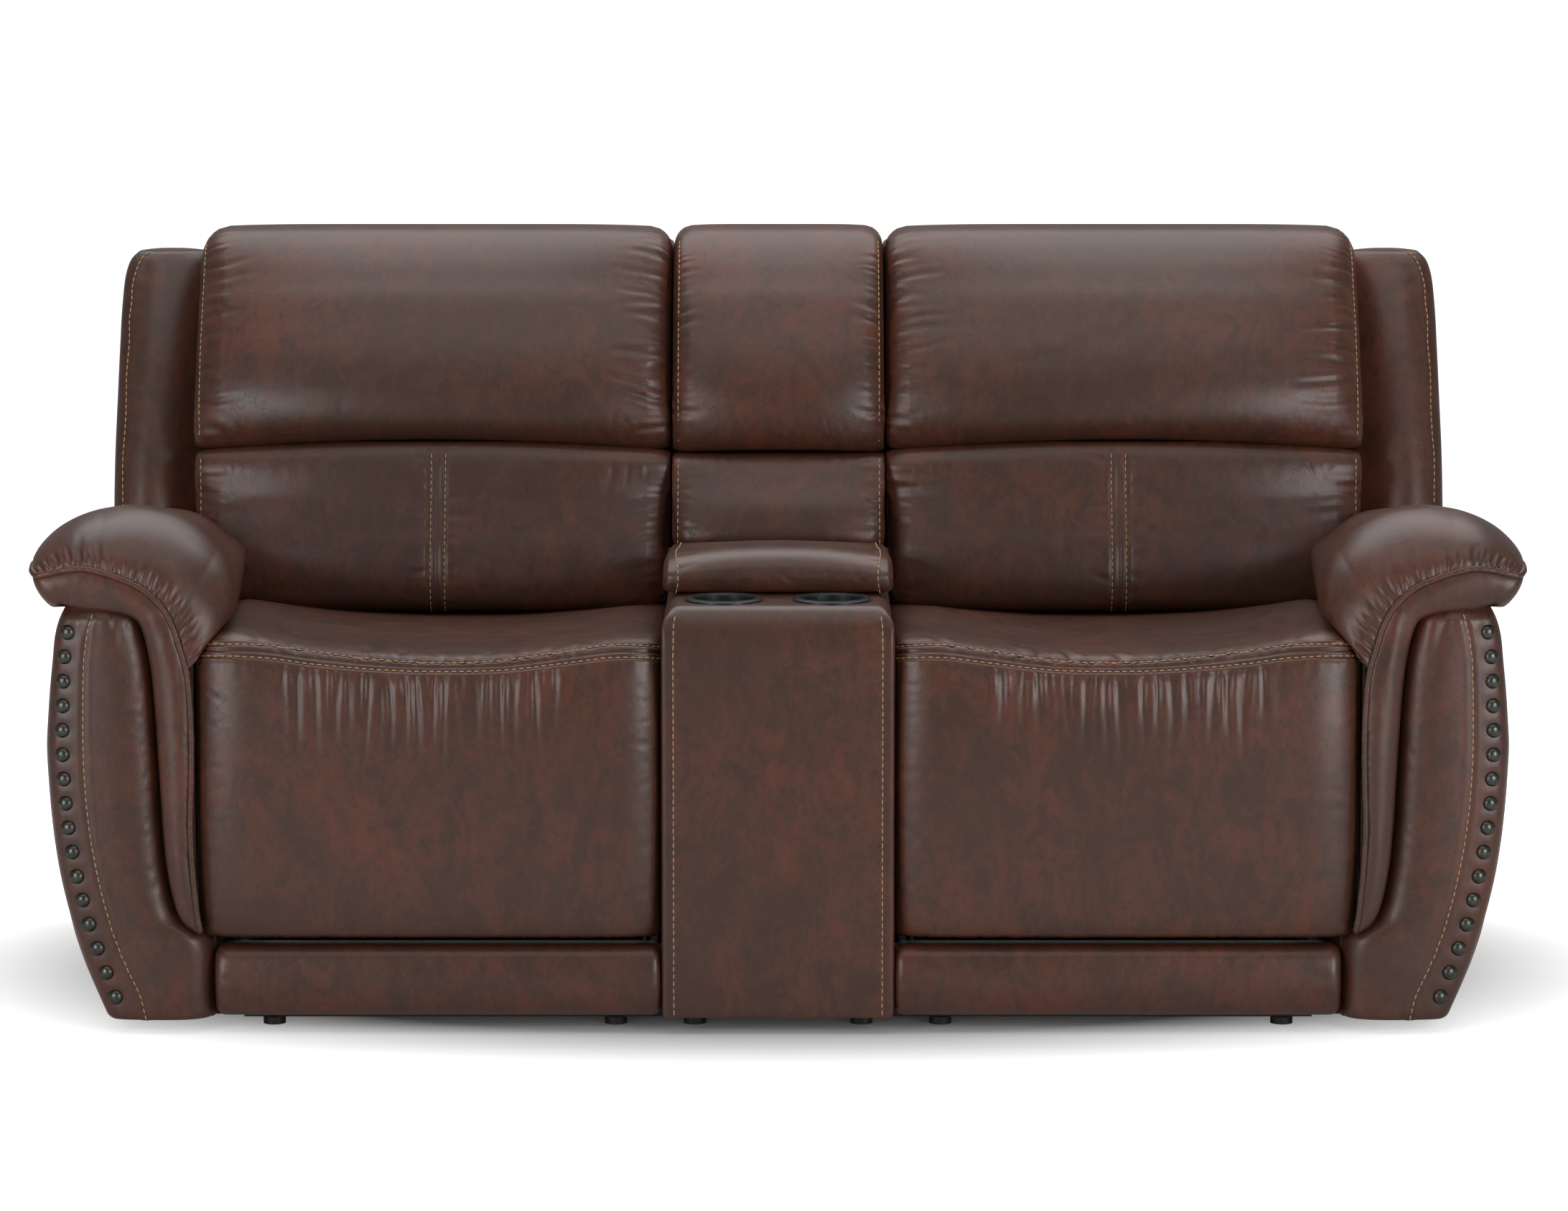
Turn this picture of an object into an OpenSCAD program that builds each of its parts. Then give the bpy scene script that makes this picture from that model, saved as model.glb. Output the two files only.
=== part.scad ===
// Reclining loveseat with a centre console, in millimetres
// X runs across the seats, Y runs from the footrests to the backs, Z is up
// The origin is on the floor, under the middle of the closed loveseat

/* [Overall] */
// Width over the two arm pads
overall_w = 1980; // [1900:10:2080]
// Depth from the arm fronts to the back covers
overall_d = 1040; // [1020:5:1080]
// Height of the head pillows
overall_h = 1031; // [1015:1:1060]

/* [Arms] */
// Width of an arm at its widest, without its pad
arm_w = 192; // [180:1:204]
// Overhang of the pad past the outside of the arm
pad_over_out = 22; // [12:1:30]
// Overhang of the pad over the seat
pad_over_in = 62; // [40:1:66]
// Height of the underside of the arm pads
pad_base_z = 566; // [556:1:580]
// Thickness of the arm pads at their crown
pad_crown = 127; // [110:1:140]
// How far the top of an arm falls from front to rear
pad_fall = 64; // [30:1:80]
// Length of the level front of an arm's top
pad_level = 110; // [60:1:160]
// How far an arm's top draws in over the seat from front to rear
pad_draw = 46; // [20:1:54]
// Distance of the rear ends of the arms ahead of the rear
arm_rear_in = 388; // [386:1:410]
// Height of the arm covers over the floor
arm_foot_z = 19; // [16:1:24]
// Number of nailheads on each arm front
nail_count = 16; // [8:1:20]
// Diameter of a nailhead
nail_d = 19; // [14:0.5:22]
// Thickness of the padded arm fronts
front_pad_t = 46; // [36:1:50]

/* [Seats] */
// Height of the crown of the seat cushions
seat_top_z = 508; // [500:1:520]
// Width of the centre console
console_w = 304; // [290:1:320]
// Gap on each side of a moving seat, back or footrest pad
side_gap = 3.5; // [3:0.1:5]
// Number of sinuous springs under each seat
spring_count = 5; // [3:1:7]
// Diameter of the spring wire
spring_d = 4; // [3:0.2:5]

/* [Backs] */
// Height of the crease between the head and the lumbar pillows
crease_z = 722; // [705:1:740]
// Height of the pin that a back reclines on
back_pin_z = 300; // [290:1:310]
// Distance of that pin ahead of the rear
back_pin_in = 255; // [245:1:262]
// Height of the top of the wings
wing_top_z = 1001; // [980:1:1008]
// How far a wing draws in towards its top
wing_draw = 13; // [6:1:24]
// How far a padded wing stands outside the back cover
wing_proud = 11; // [4:1:16]
// Thickness of the back covers
shell_t = 22; // [14:1:28]

/* [Console] */
// Inner diameter of a cup holder
cup_d = 84; // [76:1:90]
// Depth of a cup holder
cup_depth = 62; // [50:1:80]
// Distance between the two cup holders
cup_pitch = 144; // [136:1:150]
// Height of the deck that holds the cup holders
deck_z = 572; // [564:1:580]
// Thickness of the lid pad
lid_pad_t = 36; // [28:1:40]
// Depth of the storage bin
bin_depth = 300; // [200:5:380]

/* [Footrests] */
// Thickness of the footrest pads
rest_pad_t = 62; // [52:1:64]
// Height of the lower edge of the footrest pads
rest_bottom_z = 128; // [126:1:140]
// Thickness of the footrest boards
board_t = 15; // [12:1:18]
// Height of the padded front rails
rail_top_z = 116; // [100:1:117]

/* [Mechanism] */
// Thickness of the steel links
link_t = 4; // [3:0.5:4.5]
// Width of the steel links
link_w = 22; // [18:1:24]
// Diameter of the link pins
pin_d = 10; // [8:0.5:12]
// Diameter of the cross tube that joins the front cranks
tube_d = 25; // [20:1:28]
// Radial clearance of a pin in its bore
pin_fit = 0.3; // [0.3:0.05:0.4]
// Diameter of a glide
glide_d = 30; // [24:1:34]
// Height of a glide
glide_h = 10; // [8:1:12]

/* [Hidden] */

leather = [0.29, 0.21, 0.18];
steel = [0.16, 0.16, 0.17];
wood = [0.72, 0.58, 0.40];
black = [0.06, 0.06, 0.07];
bronze = [0.22, 0.20, 0.17];

// Faces that rest on each other in soft parts stay this far apart
rest_gap = 0.3;
// Wall of round steel tubes
tube_wall = 2;

// Places across the loveseat, given for the left seat and mirrored for the right one
pad_out_x = -overall_w / 2;
arm_out_x = pad_out_x + pad_over_out;
arm_in_x = arm_out_x + arm_w;
seat_out_x = arm_in_x + side_gap;
seat_in_x = -console_w / 2 - side_gap;
seat_mid_x = (seat_out_x + seat_in_x) / 2;
seat_half = (seat_in_x - seat_out_x) / 2;

// Place in Y of a point that lies d behind the front
function back_from(d) = d - overall_d / 2;
front_y = back_from(0);
rear_y = back_from(overall_d);
// Place in Y of a point that lies d ahead of the rear
function from_rear(d) = rear_y - d;
arm_rear_y = from_rear(arm_rear_in);
pin_y = from_rear(back_pin_in);

// Closed smooth curve through a few points, with k steps between each two
function spline(p, k) = [for (i = [0:len(p) - 1], j = [0:k - 1])
    let (n = len(p), t = j / k, a = p[(i + n - 1) % n], b = p[i], c = p[(i + 1) % n], d = p[(i + 2) % n])
    0.5 * ((2 * b) + (c - a) * t + (2 * a - 5 * b + 4 * c - d) * t * t
        + (3 * b - a - 3 * c + d) * t * t * t)];

// Rises smoothly from 0 to 1 as t does
function ease(t) = let (u = min(max(t, 0), 1)) u * u * (3 - 2 * u);

// Scale of a soft section at t, from -1 at one end to 1 at the other
function plump(t, draw) = 1 - draw * pow(abs(t), 5);

// Solid through rings that all have the same number of points
module loft(rings) {
    n = len(rings);
    m = len(rings[0]);
    walls = [for (i = [0:n - 2], j = [0:m - 1])
        let (a = i * m + j, b = i * m + (j + 1) % m)
        each [[a, a + m, b + m], [a, b + m, b]]];
    mids = [for (r = [rings[0], rings[n - 1]]) [for (k = [0:2]) [for (p = r) p[k]] * [for (p = r) 1] / m]];
    caps = [for (j = [0:m - 1]) let (b = (j + 1) % m, top = (n - 1) * m)
        each [[j, b, n * m], [top + b, top + j, n * m + 1]]];
    polyhedron(concat([for (r = rings) each r], mids), concat(walls, caps), convexity = 6);
}

// Steps from -1 to 1 that crowd towards the ends
function steps(n) = [for (i = [0:n - 1]) sin(-90 + 180 * i / (n - 1))];

// Soft roll whose side outline, in Y and Z, shrinks towards c at both ends of x0 to x1
module roll_x(outline, c, x0, x1, draw, n = 11) {
    loft([for (t = steps(n)) let (s = plump(t, draw))
        [for (p = outline) [(x0 + x1) / 2 + t * (x1 - x0) / 2, c[0] + s * (p[0] - c[0]), c[1] + s * (p[1] - c[1])]]]);
}

// Right-hand pieces are the left-hand ones mirrored
module side(right) {
    if (right) mirror([1, 0, 0]) children();
    else children();
}

// Extrudes an outline in Y and Z from x0 to x1
module along_x(x0, x1) {
    translate([x0, 0, 0]) rotate([90, 0, 90]) linear_extrude(x1 - x0) children();
}

// Extrudes an outline in X and Z from y0 to y1
module along_y(y0, y1) {
    translate([0, y1, 0]) rotate([90, 0, 0]) linear_extrude(y1 - y0) children();
}

module box(x0, x1, y0, y1, z0, z1) {
    translate([x0, y0, z0]) cube([x1 - x0, y1 - y0, z1 - z0]);
}

// Round bar along X
module bar_x(d, x0, x1, y, z) {
    translate([x0, y, z]) rotate([0, 90, 0]) cylinder(d = d, h = x1 - x0, $fn = 48);
}

// Base and glides
base_top_z = 60;
board_x = 717;
base_front_y = back_from(76);
base_board_t = 18;
base_board_top = 92;
cross_top_z = 50;
cross_w = 40;
cross_ys = [back_from(200), from_rear(440)];
back_cross_y = from_rear(350);
rear_board_y = from_rear(172);
glide_xs = [112, 218, 677];
glide_ys = [base_front_y + base_board_t / 2, rear_board_y + base_board_t / 2];

module base_frame() {
    color(wood) {
        box(-board_x, board_x, base_front_y, base_front_y + base_board_t, glide_h, base_board_top);
        box(-board_x, board_x, rear_board_y, rear_board_y + base_board_t, glide_h, base_board_top);
        for (y = cross_ys) box(arm_in_x, -arm_in_x, y, y + cross_w, glide_h, cross_top_z);
        box(seat_mid_x + rail_plane, -seat_mid_x - rail_plane, back_cross_y, back_cross_y + cross_w,
            glide_h, cross_top_z);
        for (m = [0, 1], s = [-1, 1]) side(m == 1)
            box(seat_mid_x + s * rail_plane - 10, seat_mid_x + s * rail_plane + 10,
                base_front_y + base_board_t, rear_board_y, glide_h, base_top_z);
    }
}

module glides() {
    color(black) for (x = glide_xs, s = [-1, 1], y = glide_ys)
        translate([s * x, y, 0]) cylinder(d = glide_d, h = glide_h, $fn = 40);
}

// Front rail: a padded board below each footrest
rail_pad_t = base_front_y - front_y - 4;
rail_out_x = seat_out_x + 24;

module front_rail() {
    back = base_front_y - rest_gap;
    outline = [[front_y + 14, 26], [front_y + 6, 38], [front_y + 3, 56], [front_y + 3, 78], [front_y + 6, 96],
        [front_y + 14, rail_top_z - 7], [front_y + 28, rail_top_z], [back - 16, rail_top_z],
        [back - 4, rail_top_z - 6], [back, rail_top_z - 18], [back, 70], [back, 34], [back - 8, 24],
        [front_y + 30, 22]];
    color(leather) roll_x(outline, [front_y + rail_pad_t / 2, 70], rail_out_x, seat_in_x, 0.1);
}

// Arms
arm_widest_z = 385;
arm_foot_in = 76;
arm_frame_x = arm_out_x + 84;
arm_frame_in = arm_in_x;
frame_board = 15;
arm_skin_gap = 0.3;

// Outer edge of an arm at height z
function arm_edge(z) = arm_out_x + (z < arm_widest_z
    ? arm_foot_in * pow((arm_widest_z - z) / (arm_widest_z - arm_foot_z), 2.2)
    : 29 * pow((z - arm_widest_z) / (pad_base_z - arm_widest_z), 2));

// Inner edge of the padded arm front at height z
panel_foot_x = arm_in_x + 18;
function panel_edge(z) = panel_foot_x - 59 * ease((z - 100) / 120) - 0.1 * max(0, z - 220);

edge_zs = [for (i = [0:12]) arm_foot_z + (pad_base_z - arm_foot_z) * i / 12];

module arm_frame() {
    z0 = arm_foot_z + 6;
    z1 = pad_base_z;
    y0 = front_y + front_pad_t + arm_skin_gap;
    y1 = arm_rear_y - 6;
    color(wood) difference() {
        box(arm_frame_x, arm_frame_in, y0, y1, z0, z1);
        box(arm_frame_x + frame_board, arm_frame_in - frame_board, y0 + frame_board, y1 - frame_board,
            z0 - 1, z1 - frame_board);
    }
}

module arm_side() {
    outer = [for (z = edge_zs) [arm_edge(z), z]];
    color(leather) difference() {
        along_y(front_y + front_pad_t + arm_skin_gap, arm_rear_y)
            polygon(concat(outer, [[arm_frame_x - arm_skin_gap, pad_base_z], [arm_frame_x - arm_skin_gap, arm_foot_z]]));
        box(arm_out_x - 5, arm_frame_x, cup_y - cup_plate_w / 2 + 4, cup_y + cup_plate_w / 2 - 4,
            cup_z - cup_plate_h / 2 + 4, cup_z + cup_plate_h / 2 - 4);
    }
}

module arm_front() {
    zs = [for (i = [0:9]) arm_foot_z + (pad_base_z - arm_foot_z) * i / 9];
    outline = concat([for (z = zs) [arm_edge(z), z]],
        [for (i = [9:-1:0]) [panel_edge(zs[i]), zs[i]]]);
    y0 = front_y + nail_rise + 0.5;
    y1 = front_y + front_pad_t;
    mid = [(arm_out_x + arm_in_x) / 2 - 20, 290];
    color(leather) loft([for (q = [[0, 0.9, 0.97], [0.12, 0.955, 0.985], [0.35, 0.99, 0.997], [0.62, 1, 1], [1, 1, 1]])
        [for (p = outline) [mid[0] + q[1] * (p[0] - mid[0]), y0 + q[0] * (y1 - y0),
            mid[1] + q[2] * (p[1] - mid[1])]]]);
}

// Band that runs down the inner front of an arm, from under the pad to the footrest's lower corner
band_bottom_z = 150;

module arm_band() {
    zs = [for (i = [0:9]) band_bottom_z + (pad_base_z - 4 - band_bottom_z) * i / 9];
    color(leather) loft([for (z = zs)
        let (x0 = panel_edge(z) + 2, x1 = arm_in_x - 9 * ease((z - seat_top_z) / 16),
            y0 = front_y + 4, y1 = front_y + front_pad_t, w = x1 - x0)
        [[x0, y1, z], [x0, y0 + 10, z], [x0 + 0.15 * w, y0 + 2, z], [x0 + 0.45 * w, y0 - 2, z],
            [x0 + 0.75 * w, y0 + 1, z], [x1, y0 + 10, z], [x1, y1, z]]]);
}

// Pad: a pillow top with its welted edge hanging past the arm on both sides
module arm_pad() {
    top = pad_base_z + pad_crown;
    in_x = arm_in_x + pad_over_in;
    outline = spline([[pad_out_x, pad_base_z + 52], [pad_out_x + 14, pad_base_z + 84], [pad_out_x + 52, top - 16],
        [pad_out_x + 96, top - 3], [pad_out_x + 146, top], [pad_out_x + 196, top - 10],
        [pad_out_x + 238, top - 36], [in_x - 10, top - 76], [in_x, top - 116], [in_x - 3, seat_top_z + 34],
        [arm_in_x + 30, seat_top_z + 16], [arm_in_x + 4, pad_base_z - 30], [arm_in_x + 1, pad_base_z + rest_gap],
        [arm_in_x - 40, pad_base_z + rest_gap], [arm_out_x + 60, pad_base_z + rest_gap],
        [arm_out_x + 26, pad_base_z + rest_gap], [arm_out_x - 10, pad_base_z + 26]], 1);
    c = [pad_out_x + 146, pad_base_z + 34];
    y0 = front_y + 2;
    color(leather) loft([for (t = steps(11))
        let (s = plump(t, t < 0 ? 0.16 : 0.05), y = (y0 + arm_rear_y) / 2 + t * (arm_rear_y - y0) / 2,
            fall = pad_fall / pad_crown * max(0, (y - y0 - pad_level) / (arm_rear_y - y0 - pad_level)),
            over = 1 - pad_draw / pad_over_in * max(0, (y - y0 - 60) / (arm_rear_y - y0 - 60)))
        [for (p = outline) let (x = c[0] + s * (p[0] - c[0]), z = c[1] + s * (p[1] - c[1]))
            [p[0] > arm_in_x ? arm_in_x + 1 + over * max(x - arm_in_x - 1, 0) : x, y,
                z > pad_base_z + rest_gap ? z - fall * (z - pad_base_z - rest_gap) : z]]]);
}

// Nailheads follow the outer edge of each arm front
nail_top_z = 540;
nail_low_z = 51;
nail_inset = 21;
nail_rise = nail_d * 0.28;

module nailheads() {
    color(bronze) for (m = [0, 1], i = [0:nail_count - 1])
        let (z = nail_top_z - (nail_top_z - nail_low_z) * i / (nail_count - 1))
        side(m == 1) translate([arm_edge(z) + nail_inset, front_y + nail_rise + 0.2, z]) rotate([90, 0, 0])
            intersection() {
                translate([0, 0, nail_rise - nail_d * 0.6]) sphere(d = nail_d * 1.2, $fn = 24);
                cylinder(d = nail_d, h = nail_d, $fn = 24);
            }
}

// Release: a recessed cup on the outside of each arm with a pull handle in it
cup_y = back_from(360);
cup_z = 400;
cup_plate_w = 120;
cup_plate_h = 72;
cup_wall = 2.5;
cup_floor_x = arm_out_x + 40;
handle_pin_z = cup_z + 20;
handle_pin_x = arm_out_x + 16;
handle_w = 92;

module release_cup() {
    color(black) difference() {
        union() {
            box(arm_out_x - 2, arm_out_x - rest_gap, cup_y - cup_plate_w / 2, cup_y + cup_plate_w / 2,
                cup_z - cup_plate_h / 2, cup_z + cup_plate_h / 2);
            box(arm_out_x - 1, cup_floor_x, cup_y - cup_plate_w / 2 + 5, cup_y + cup_plate_w / 2 - 5,
                cup_z - cup_plate_h / 2 + 5, cup_z + cup_plate_h / 2 - 5);
        }
        box(arm_out_x - 3, cup_floor_x - cup_wall, cup_y - cup_plate_w / 2 + 5 + cup_wall,
            cup_y + cup_plate_w / 2 - 5 - cup_wall, cup_z - cup_plate_h / 2 + 5 + cup_wall,
            cup_z + cup_plate_h / 2 - 5 - cup_wall);
        translate([handle_pin_x, cup_y + cup_plate_w, handle_pin_z]) rotate([90, 0, 0])
            cylinder(r = 2.5 + pin_fit, h = cup_plate_w * 2, $fn = 32);
    }
}

module release_handle() {
    y0 = cup_y - handle_w / 2;
    color(black) union() {
        along_y(y0, y0 + handle_w) polygon([[handle_pin_x - 4, handle_pin_z + 5], [handle_pin_x + 4, handle_pin_z + 5],
            [handle_pin_x + 5, handle_pin_z - 6], [handle_pin_x + 1, cup_z - 18], [handle_pin_x - 6, cup_z - 24],
            [handle_pin_x - 9, cup_z - 21], [handle_pin_x - 4, cup_z - 10], [handle_pin_x - 4, handle_pin_z - 6]]);
        translate([handle_pin_x, cup_y + handle_w / 2 + 8, handle_pin_z]) rotate([90, 0, 0])
            cylinder(r = 2.5, h = handle_w + 16, $fn = 32);
    }
}

// Console
case_x = console_w / 2;
case_front_y = front_y + 2;
case_rear_y = from_rear(440);
skin_t = 12;
skin_front_t = 40;
box_x = case_x - skin_t - rest_gap;
box_front_y = case_front_y + skin_front_t + rest_gap;
box_wall = 14;
deck_t = 12;
cup_holder_y = back_from(92);
flange_t = 4;
flange_over = 10;
lid_front_y = back_from(152);
lid_rear_y = from_rear(518);
bin_front_y = lid_front_y + 30;
bin_rear_y = lid_rear_y - 34;
bin_x = box_x - box_wall;
hinge_y = lid_rear_y - 4;
lid_base_z = deck_z + 4;
lid_board_t = 12;
hinge_z = lid_base_z + lid_board_t / 2;
hinge_pin_d = 6;

// Room for the front board of the base
module base_notch() {
    box(-case_x - 1, case_x + 1, base_front_y - rest_gap, base_front_y + base_board_t + rest_gap,
        0, base_board_top + rest_gap);
}

module console_box() {
    top = deck_z - deck_t - rest_gap;
    bin_z = deck_z - deck_t - bin_depth;
    color(wood) difference() {
        box(-box_x, box_x, box_front_y, case_rear_y, cross_top_z, top);
        box(-bin_x, bin_x, bin_front_y, bin_rear_y, bin_z, deck_z);
        box(-bin_x, bin_x, bin_front_y, bin_rear_y, cross_top_z - 1, bin_z - box_wall);
        box(-bin_x, bin_x, box_front_y + box_wall, bin_front_y - box_wall, cross_top_z - 1, top - box_wall);
        box(-bin_x, bin_x, bin_rear_y + box_wall, case_rear_y - box_wall, cross_top_z - 1, top - box_wall);
        for (s = [-1, 1]) translate([s * cup_pitch / 2, cup_holder_y, deck_z - cup_depth - 6])
            cylinder(r = cup_d / 2 + 4, h = cup_depth + 10, $fn = 48);
        base_notch();
    }
}

module console_cover() {
    z0 = arm_foot_z + 3;
    color(leather) difference() {
        box(-case_x, case_x, case_front_y, case_rear_y, z0, deck_z);
        box(-case_x + skin_t, case_x - skin_t, case_front_y + skin_front_t, case_rear_y + 1, z0 - 1, deck_z - deck_t);
        box(-bin_x, bin_x, bin_front_y, bin_rear_y, deck_z - deck_t - 1, deck_z + 1);
        for (s = [-1, 1]) translate([s * cup_pitch / 2, cup_holder_y, z0])
            cylinder(r = cup_d / 2 + 3 + rest_gap, h = deck_z, $fn = 48);
        for (y = cross_ys) box(-case_x - 1, case_x + 1, y - rest_gap, y + cross_w + rest_gap,
            z0 - 1, cross_top_z + rest_gap);
        base_notch();
    }
}

module cup_holders() {
    color(black) for (s = [-1, 1]) translate([s * cup_pitch / 2, cup_holder_y, deck_z]) rotate_extrude($fn = 64)
        polygon([[0, -cup_depth], [cup_d / 2 - 4, -cup_depth], [cup_d / 2, -cup_depth + 4], [cup_d / 2, 1],
            [cup_d / 2 + 1.5, flange_t], [cup_d / 2 + flange_over - 2, flange_t], [cup_d / 2 + flange_over, 2],
            [cup_d / 2 + flange_over, rest_gap], [cup_d / 2 + 2.5, rest_gap], [cup_d / 2 + 2.5, -cup_depth],
            [cup_d / 2 - 1, -cup_depth - 3], [0, -cup_depth - 3]]);
}

hinge_knuckle_d = 11;
hinge_leaf = 30;

module console_hinge() {
    color(steel) {
        bar_x(hinge_pin_d, -90, 90, hinge_y, hinge_z);
        for (s = [-1, 1]) {
            bar_x(hinge_knuckle_d, s * 60 - 12, s * 60 + 12, hinge_y, hinge_z);
            box(s * 60 - 12, s * 60 + 12, hinge_y - 2, hinge_y + hinge_leaf, deck_z, deck_z + 2);
            box(s * 60 - 12, s * 60 + 12, hinge_y - 2, hinge_y + 2, deck_z, hinge_z);
        }
    }
}

module console_lid_board() {
    y0 = lid_front_y + 16;
    color(wood) difference() {
        union() {
            box(-box_x + 12, box_x - 12, y0, hinge_y - 8, lid_base_z, lid_base_z + lid_board_t);
            for (s = [-1, 1]) {
                bar_x(hinge_knuckle_d, s * 82 - 8, s * 82 + 8, hinge_y, hinge_z);
                box(s * 82 - 8, s * 82 + 8, hinge_y - 9, hinge_y, hinge_z - 2, hinge_z + 3);
            }
        }
        bar_x(hinge_pin_d + 2 * pin_fit, -100, 100, hinge_y, hinge_z);
    }
}

module console_lid_pad() {
    z0 = lid_base_z + lid_board_t + rest_gap;
    low = lid_base_z - 1;
    top = z0 + lid_pad_t;
    y1 = lid_rear_y - 4;
    outline = [[lid_front_y + 5, low + 2], [lid_front_y + 1, low + 9], [lid_front_y, z0 + 12], [lid_front_y + 7, top - 11],
        [lid_front_y + 22, top - 5], [lid_front_y + 60, top], [(lid_front_y + y1) / 2, top + 3], [y1 - 60, top],
        [y1 - 20, top - 6], [y1 - 6, top - 14], [y1, z0 + 14], [y1 - 1, low + 8], [y1 - 7, low],
        [(lid_front_y + y1) / 2, low], [lid_front_y + 12, low]];
    color(leather) difference() {
        roll_x(outline, [(lid_front_y + y1) / 2, z0], -case_x - 1, case_x + 1, 0.07, 9);
        box(-box_x + 12 - rest_gap, box_x - 12 + rest_gap, lid_front_y + 16 - rest_gap, hinge_y + 3, low - 5, z0);
    }
}

// Backs: everything leans by the same slope
lean = 0.25;
frame_front_y = pin_y - 60;
frame_t = 90;
frame_top_z = wing_top_z - 26;
back_low_z = back_pin_z - 85;
side_board = 18;
// Lower edges of the cross boards of a back, and of the two that reach out to its wing
cross_zs = [430, 660, frame_top_z - 85];
wing_board_zs = [640, frame_top_z - 115];
function frame_y(z) = frame_front_y + lean * (z - back_pin_z);
function rear_face_y(z) = rear_y - 0.165 * (wing_top_z - 32 - z);

// Width of a back over the arms: the pillows reach past the seat behind the arm pads
pillow_out_x = arm_in_x - 60;
wing_in_x = pillow_out_x - 2;
back_in_x = seat_in_x + 2;
back_out_x = arm_out_x + 23;

module lean_board(x0, x1, z0, z1) {
    along_x(x0, x1) polygon([[frame_y(z0), z0], [frame_y(z0) + frame_t, z0], [frame_y(z1) + frame_t, z1],
        [frame_y(z1), z1]]);
}

module back_frame() {
    xs = [seat_mid_x - rail_plane + link_t, seat_mid_x + rail_plane - link_t - side_board];
    color(wood) difference() {
        union() {
            for (x = xs) {
                lean_board(x, x + side_board, back_pin_z - 10, frame_top_z);
                bar_x(60, x, x + side_board, pin_y, back_pin_z);
            }
            for (z = cross_zs) lean_board(xs[0], xs[1] + side_board, z, z + 60);
            for (z = wing_board_zs) lean_board(wing_in_x - 50, back_in_x - shell_t - 8, z, z + 24);
        }
        bar_x(pin_d + 6 + 2 * pin_fit, xs[0] - 50, xs[1] + 50, pin_y, back_pin_z);
    }
}

module back_shell_solid(x0, x1, z0, z1) {
    along_x(x0, x1) polygon([[frame_y(z0) + rest_gap, z0], [rear_face_y(z0), z0], [rear_face_y((z0 + z1) / 2), (z0 + z1) / 2],
        [rear_face_y(z1 - 30), z1 - 30], [rear_face_y(z1 - 30) - 10, z1 - 8], [rear_face_y(z1 - 30) - 28, z1],
        [frame_y(z1) + rest_gap, z1]]);
}

// Outer edge of a wing at height z: upright beside the arm, then drawn in towards the top
function wing_edge(z) = back_out_x - 3 + wing_draw * ease((z - 640) / (wing_top_z - 661));

// Cover of a back: rear panel, top and both sides, open at the front and below
module shell_of(x0, x1) {
    z1 = wing_top_z - 2;
    difference() {
        back_shell_solid(x0, x1, back_low_z, z1);
        along_x(x0 + shell_t, x1 - shell_t) polygon([[frame_y(back_low_z - 5) - 30, back_low_z - 5],
            [rear_face_y(back_low_z - 5) - shell_t, back_low_z - 5], [rear_face_y(z1 - 30) - shell_t, z1 - 22],
            [frame_y(z1) - 30, z1 - 20]]);
    }
}

module back_shell() {
    zs = [for (i = [0:8]) 620 + (wing_top_z - 50 - 620) * i / 8];
    color(leather) intersection() {
        shell_of(back_out_x - 3, back_in_x);
        along_y(frame_front_y - 100, rear_y + 10) polygon(concat([[back_in_x + 1, back_low_z - 1],
            [back_out_x - 3, back_low_z - 1]], [for (z = zs) [wing_edge(z), z]],
            [for (a = [0:15:90]) [wing_edge(wing_top_z) + 50 - 50 * cos(a), wing_top_z - 50 + 50 * sin(a)]],
            [[back_in_x + 1, wing_top_z]]));
    }
}

// Head pillow: its lower edge overhangs the lumbar pillow in an arch
head_face = [[crease_z - 4, 116], [crease_z + 18, 92], [crease_z + 60, 88], [crease_z + 130, 104],
    [overall_h - 100, 150], [overall_h - 40, 208], [overall_h - 12, 244], [overall_h, 286],
    [overall_h - 10, 330]];
head_center_z = (crease_z + overall_h) / 2 - 6.5;

module head_pillow_of(x0, x1, draw, arch) {
    zc = head_center_z;
    outline = spline(concat([for (p = head_face) [from_rear(512 - p[1]), p[0]]],
        [for (z = [overall_h - 19, 930, 830, crease_z + 16]) [frame_y(z) - rest_gap, z]]), 1);
    color(leather) loft([for (t = steps(11)) let (s = plump(t, draw))
        [for (p = outline) [(x0 + x1) / 2 + t * (x1 - x0) / 2, frame_y(zc) - 40 + s * (p[0] - frame_y(zc) + 40),
            zc + s * (p[1] - zc) + arch * (1 - t * t) * ease((zc - p[1]) / (zc - crease_z))]]]);
}

module head_pillow() {
    head_pillow_of(pillow_out_x, back_in_x, 0.075, 14);
}

// Lumbar pillow, through sections at the places xs: outside the seat it steps back behind the arm,
// and two rows of stitches draw a shallow channel down its middle
module lumbar_pillow_of(xs, z0, draw, groove) {
    z1 = crease_z - 8;
    n = len(xs) - 1;
    mid = (xs[0] + xs[n]) / 2;
    half = (xs[n] - xs[0]) / 2;
    h = z1 - z0;
    c = [frame_y(z1) - 80, z0 + 0.54 * h];
    front = [[474, 0], [484, 0.18], [474, 0.41], [448, 0.68], [414, 0.9], [390, 0.99]];
    outline = concat([for (p = front) [from_rear(p[0]), z0 + p[1] * h]],
        [[frame_y(z1) - 20, z1 - 2], for (q = [0.94, 0.63, 0.27, 0.03]) [frame_y(z0 + q * h) - rest_gap, z0 + q * h],
            [frame_y(z0) - 30, z0 - 4], [from_rear(430), z0 - 6]]);
    color(leather) loft([for (x = xs)
        let (t = (x - mid) / half, s = plump(t, draw) - groove * exp(-pow(t / 0.12, 2)),
            y0 = abs(x) < abs(arm_in_x + pad_over_in) ? front_y : arm_rear_y + 5)
        [for (p = outline) [x, max(y0, c[0] + s * (p[0] - c[0])), c[1] + s * (p[1] - c[1])]]]);
}

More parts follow.
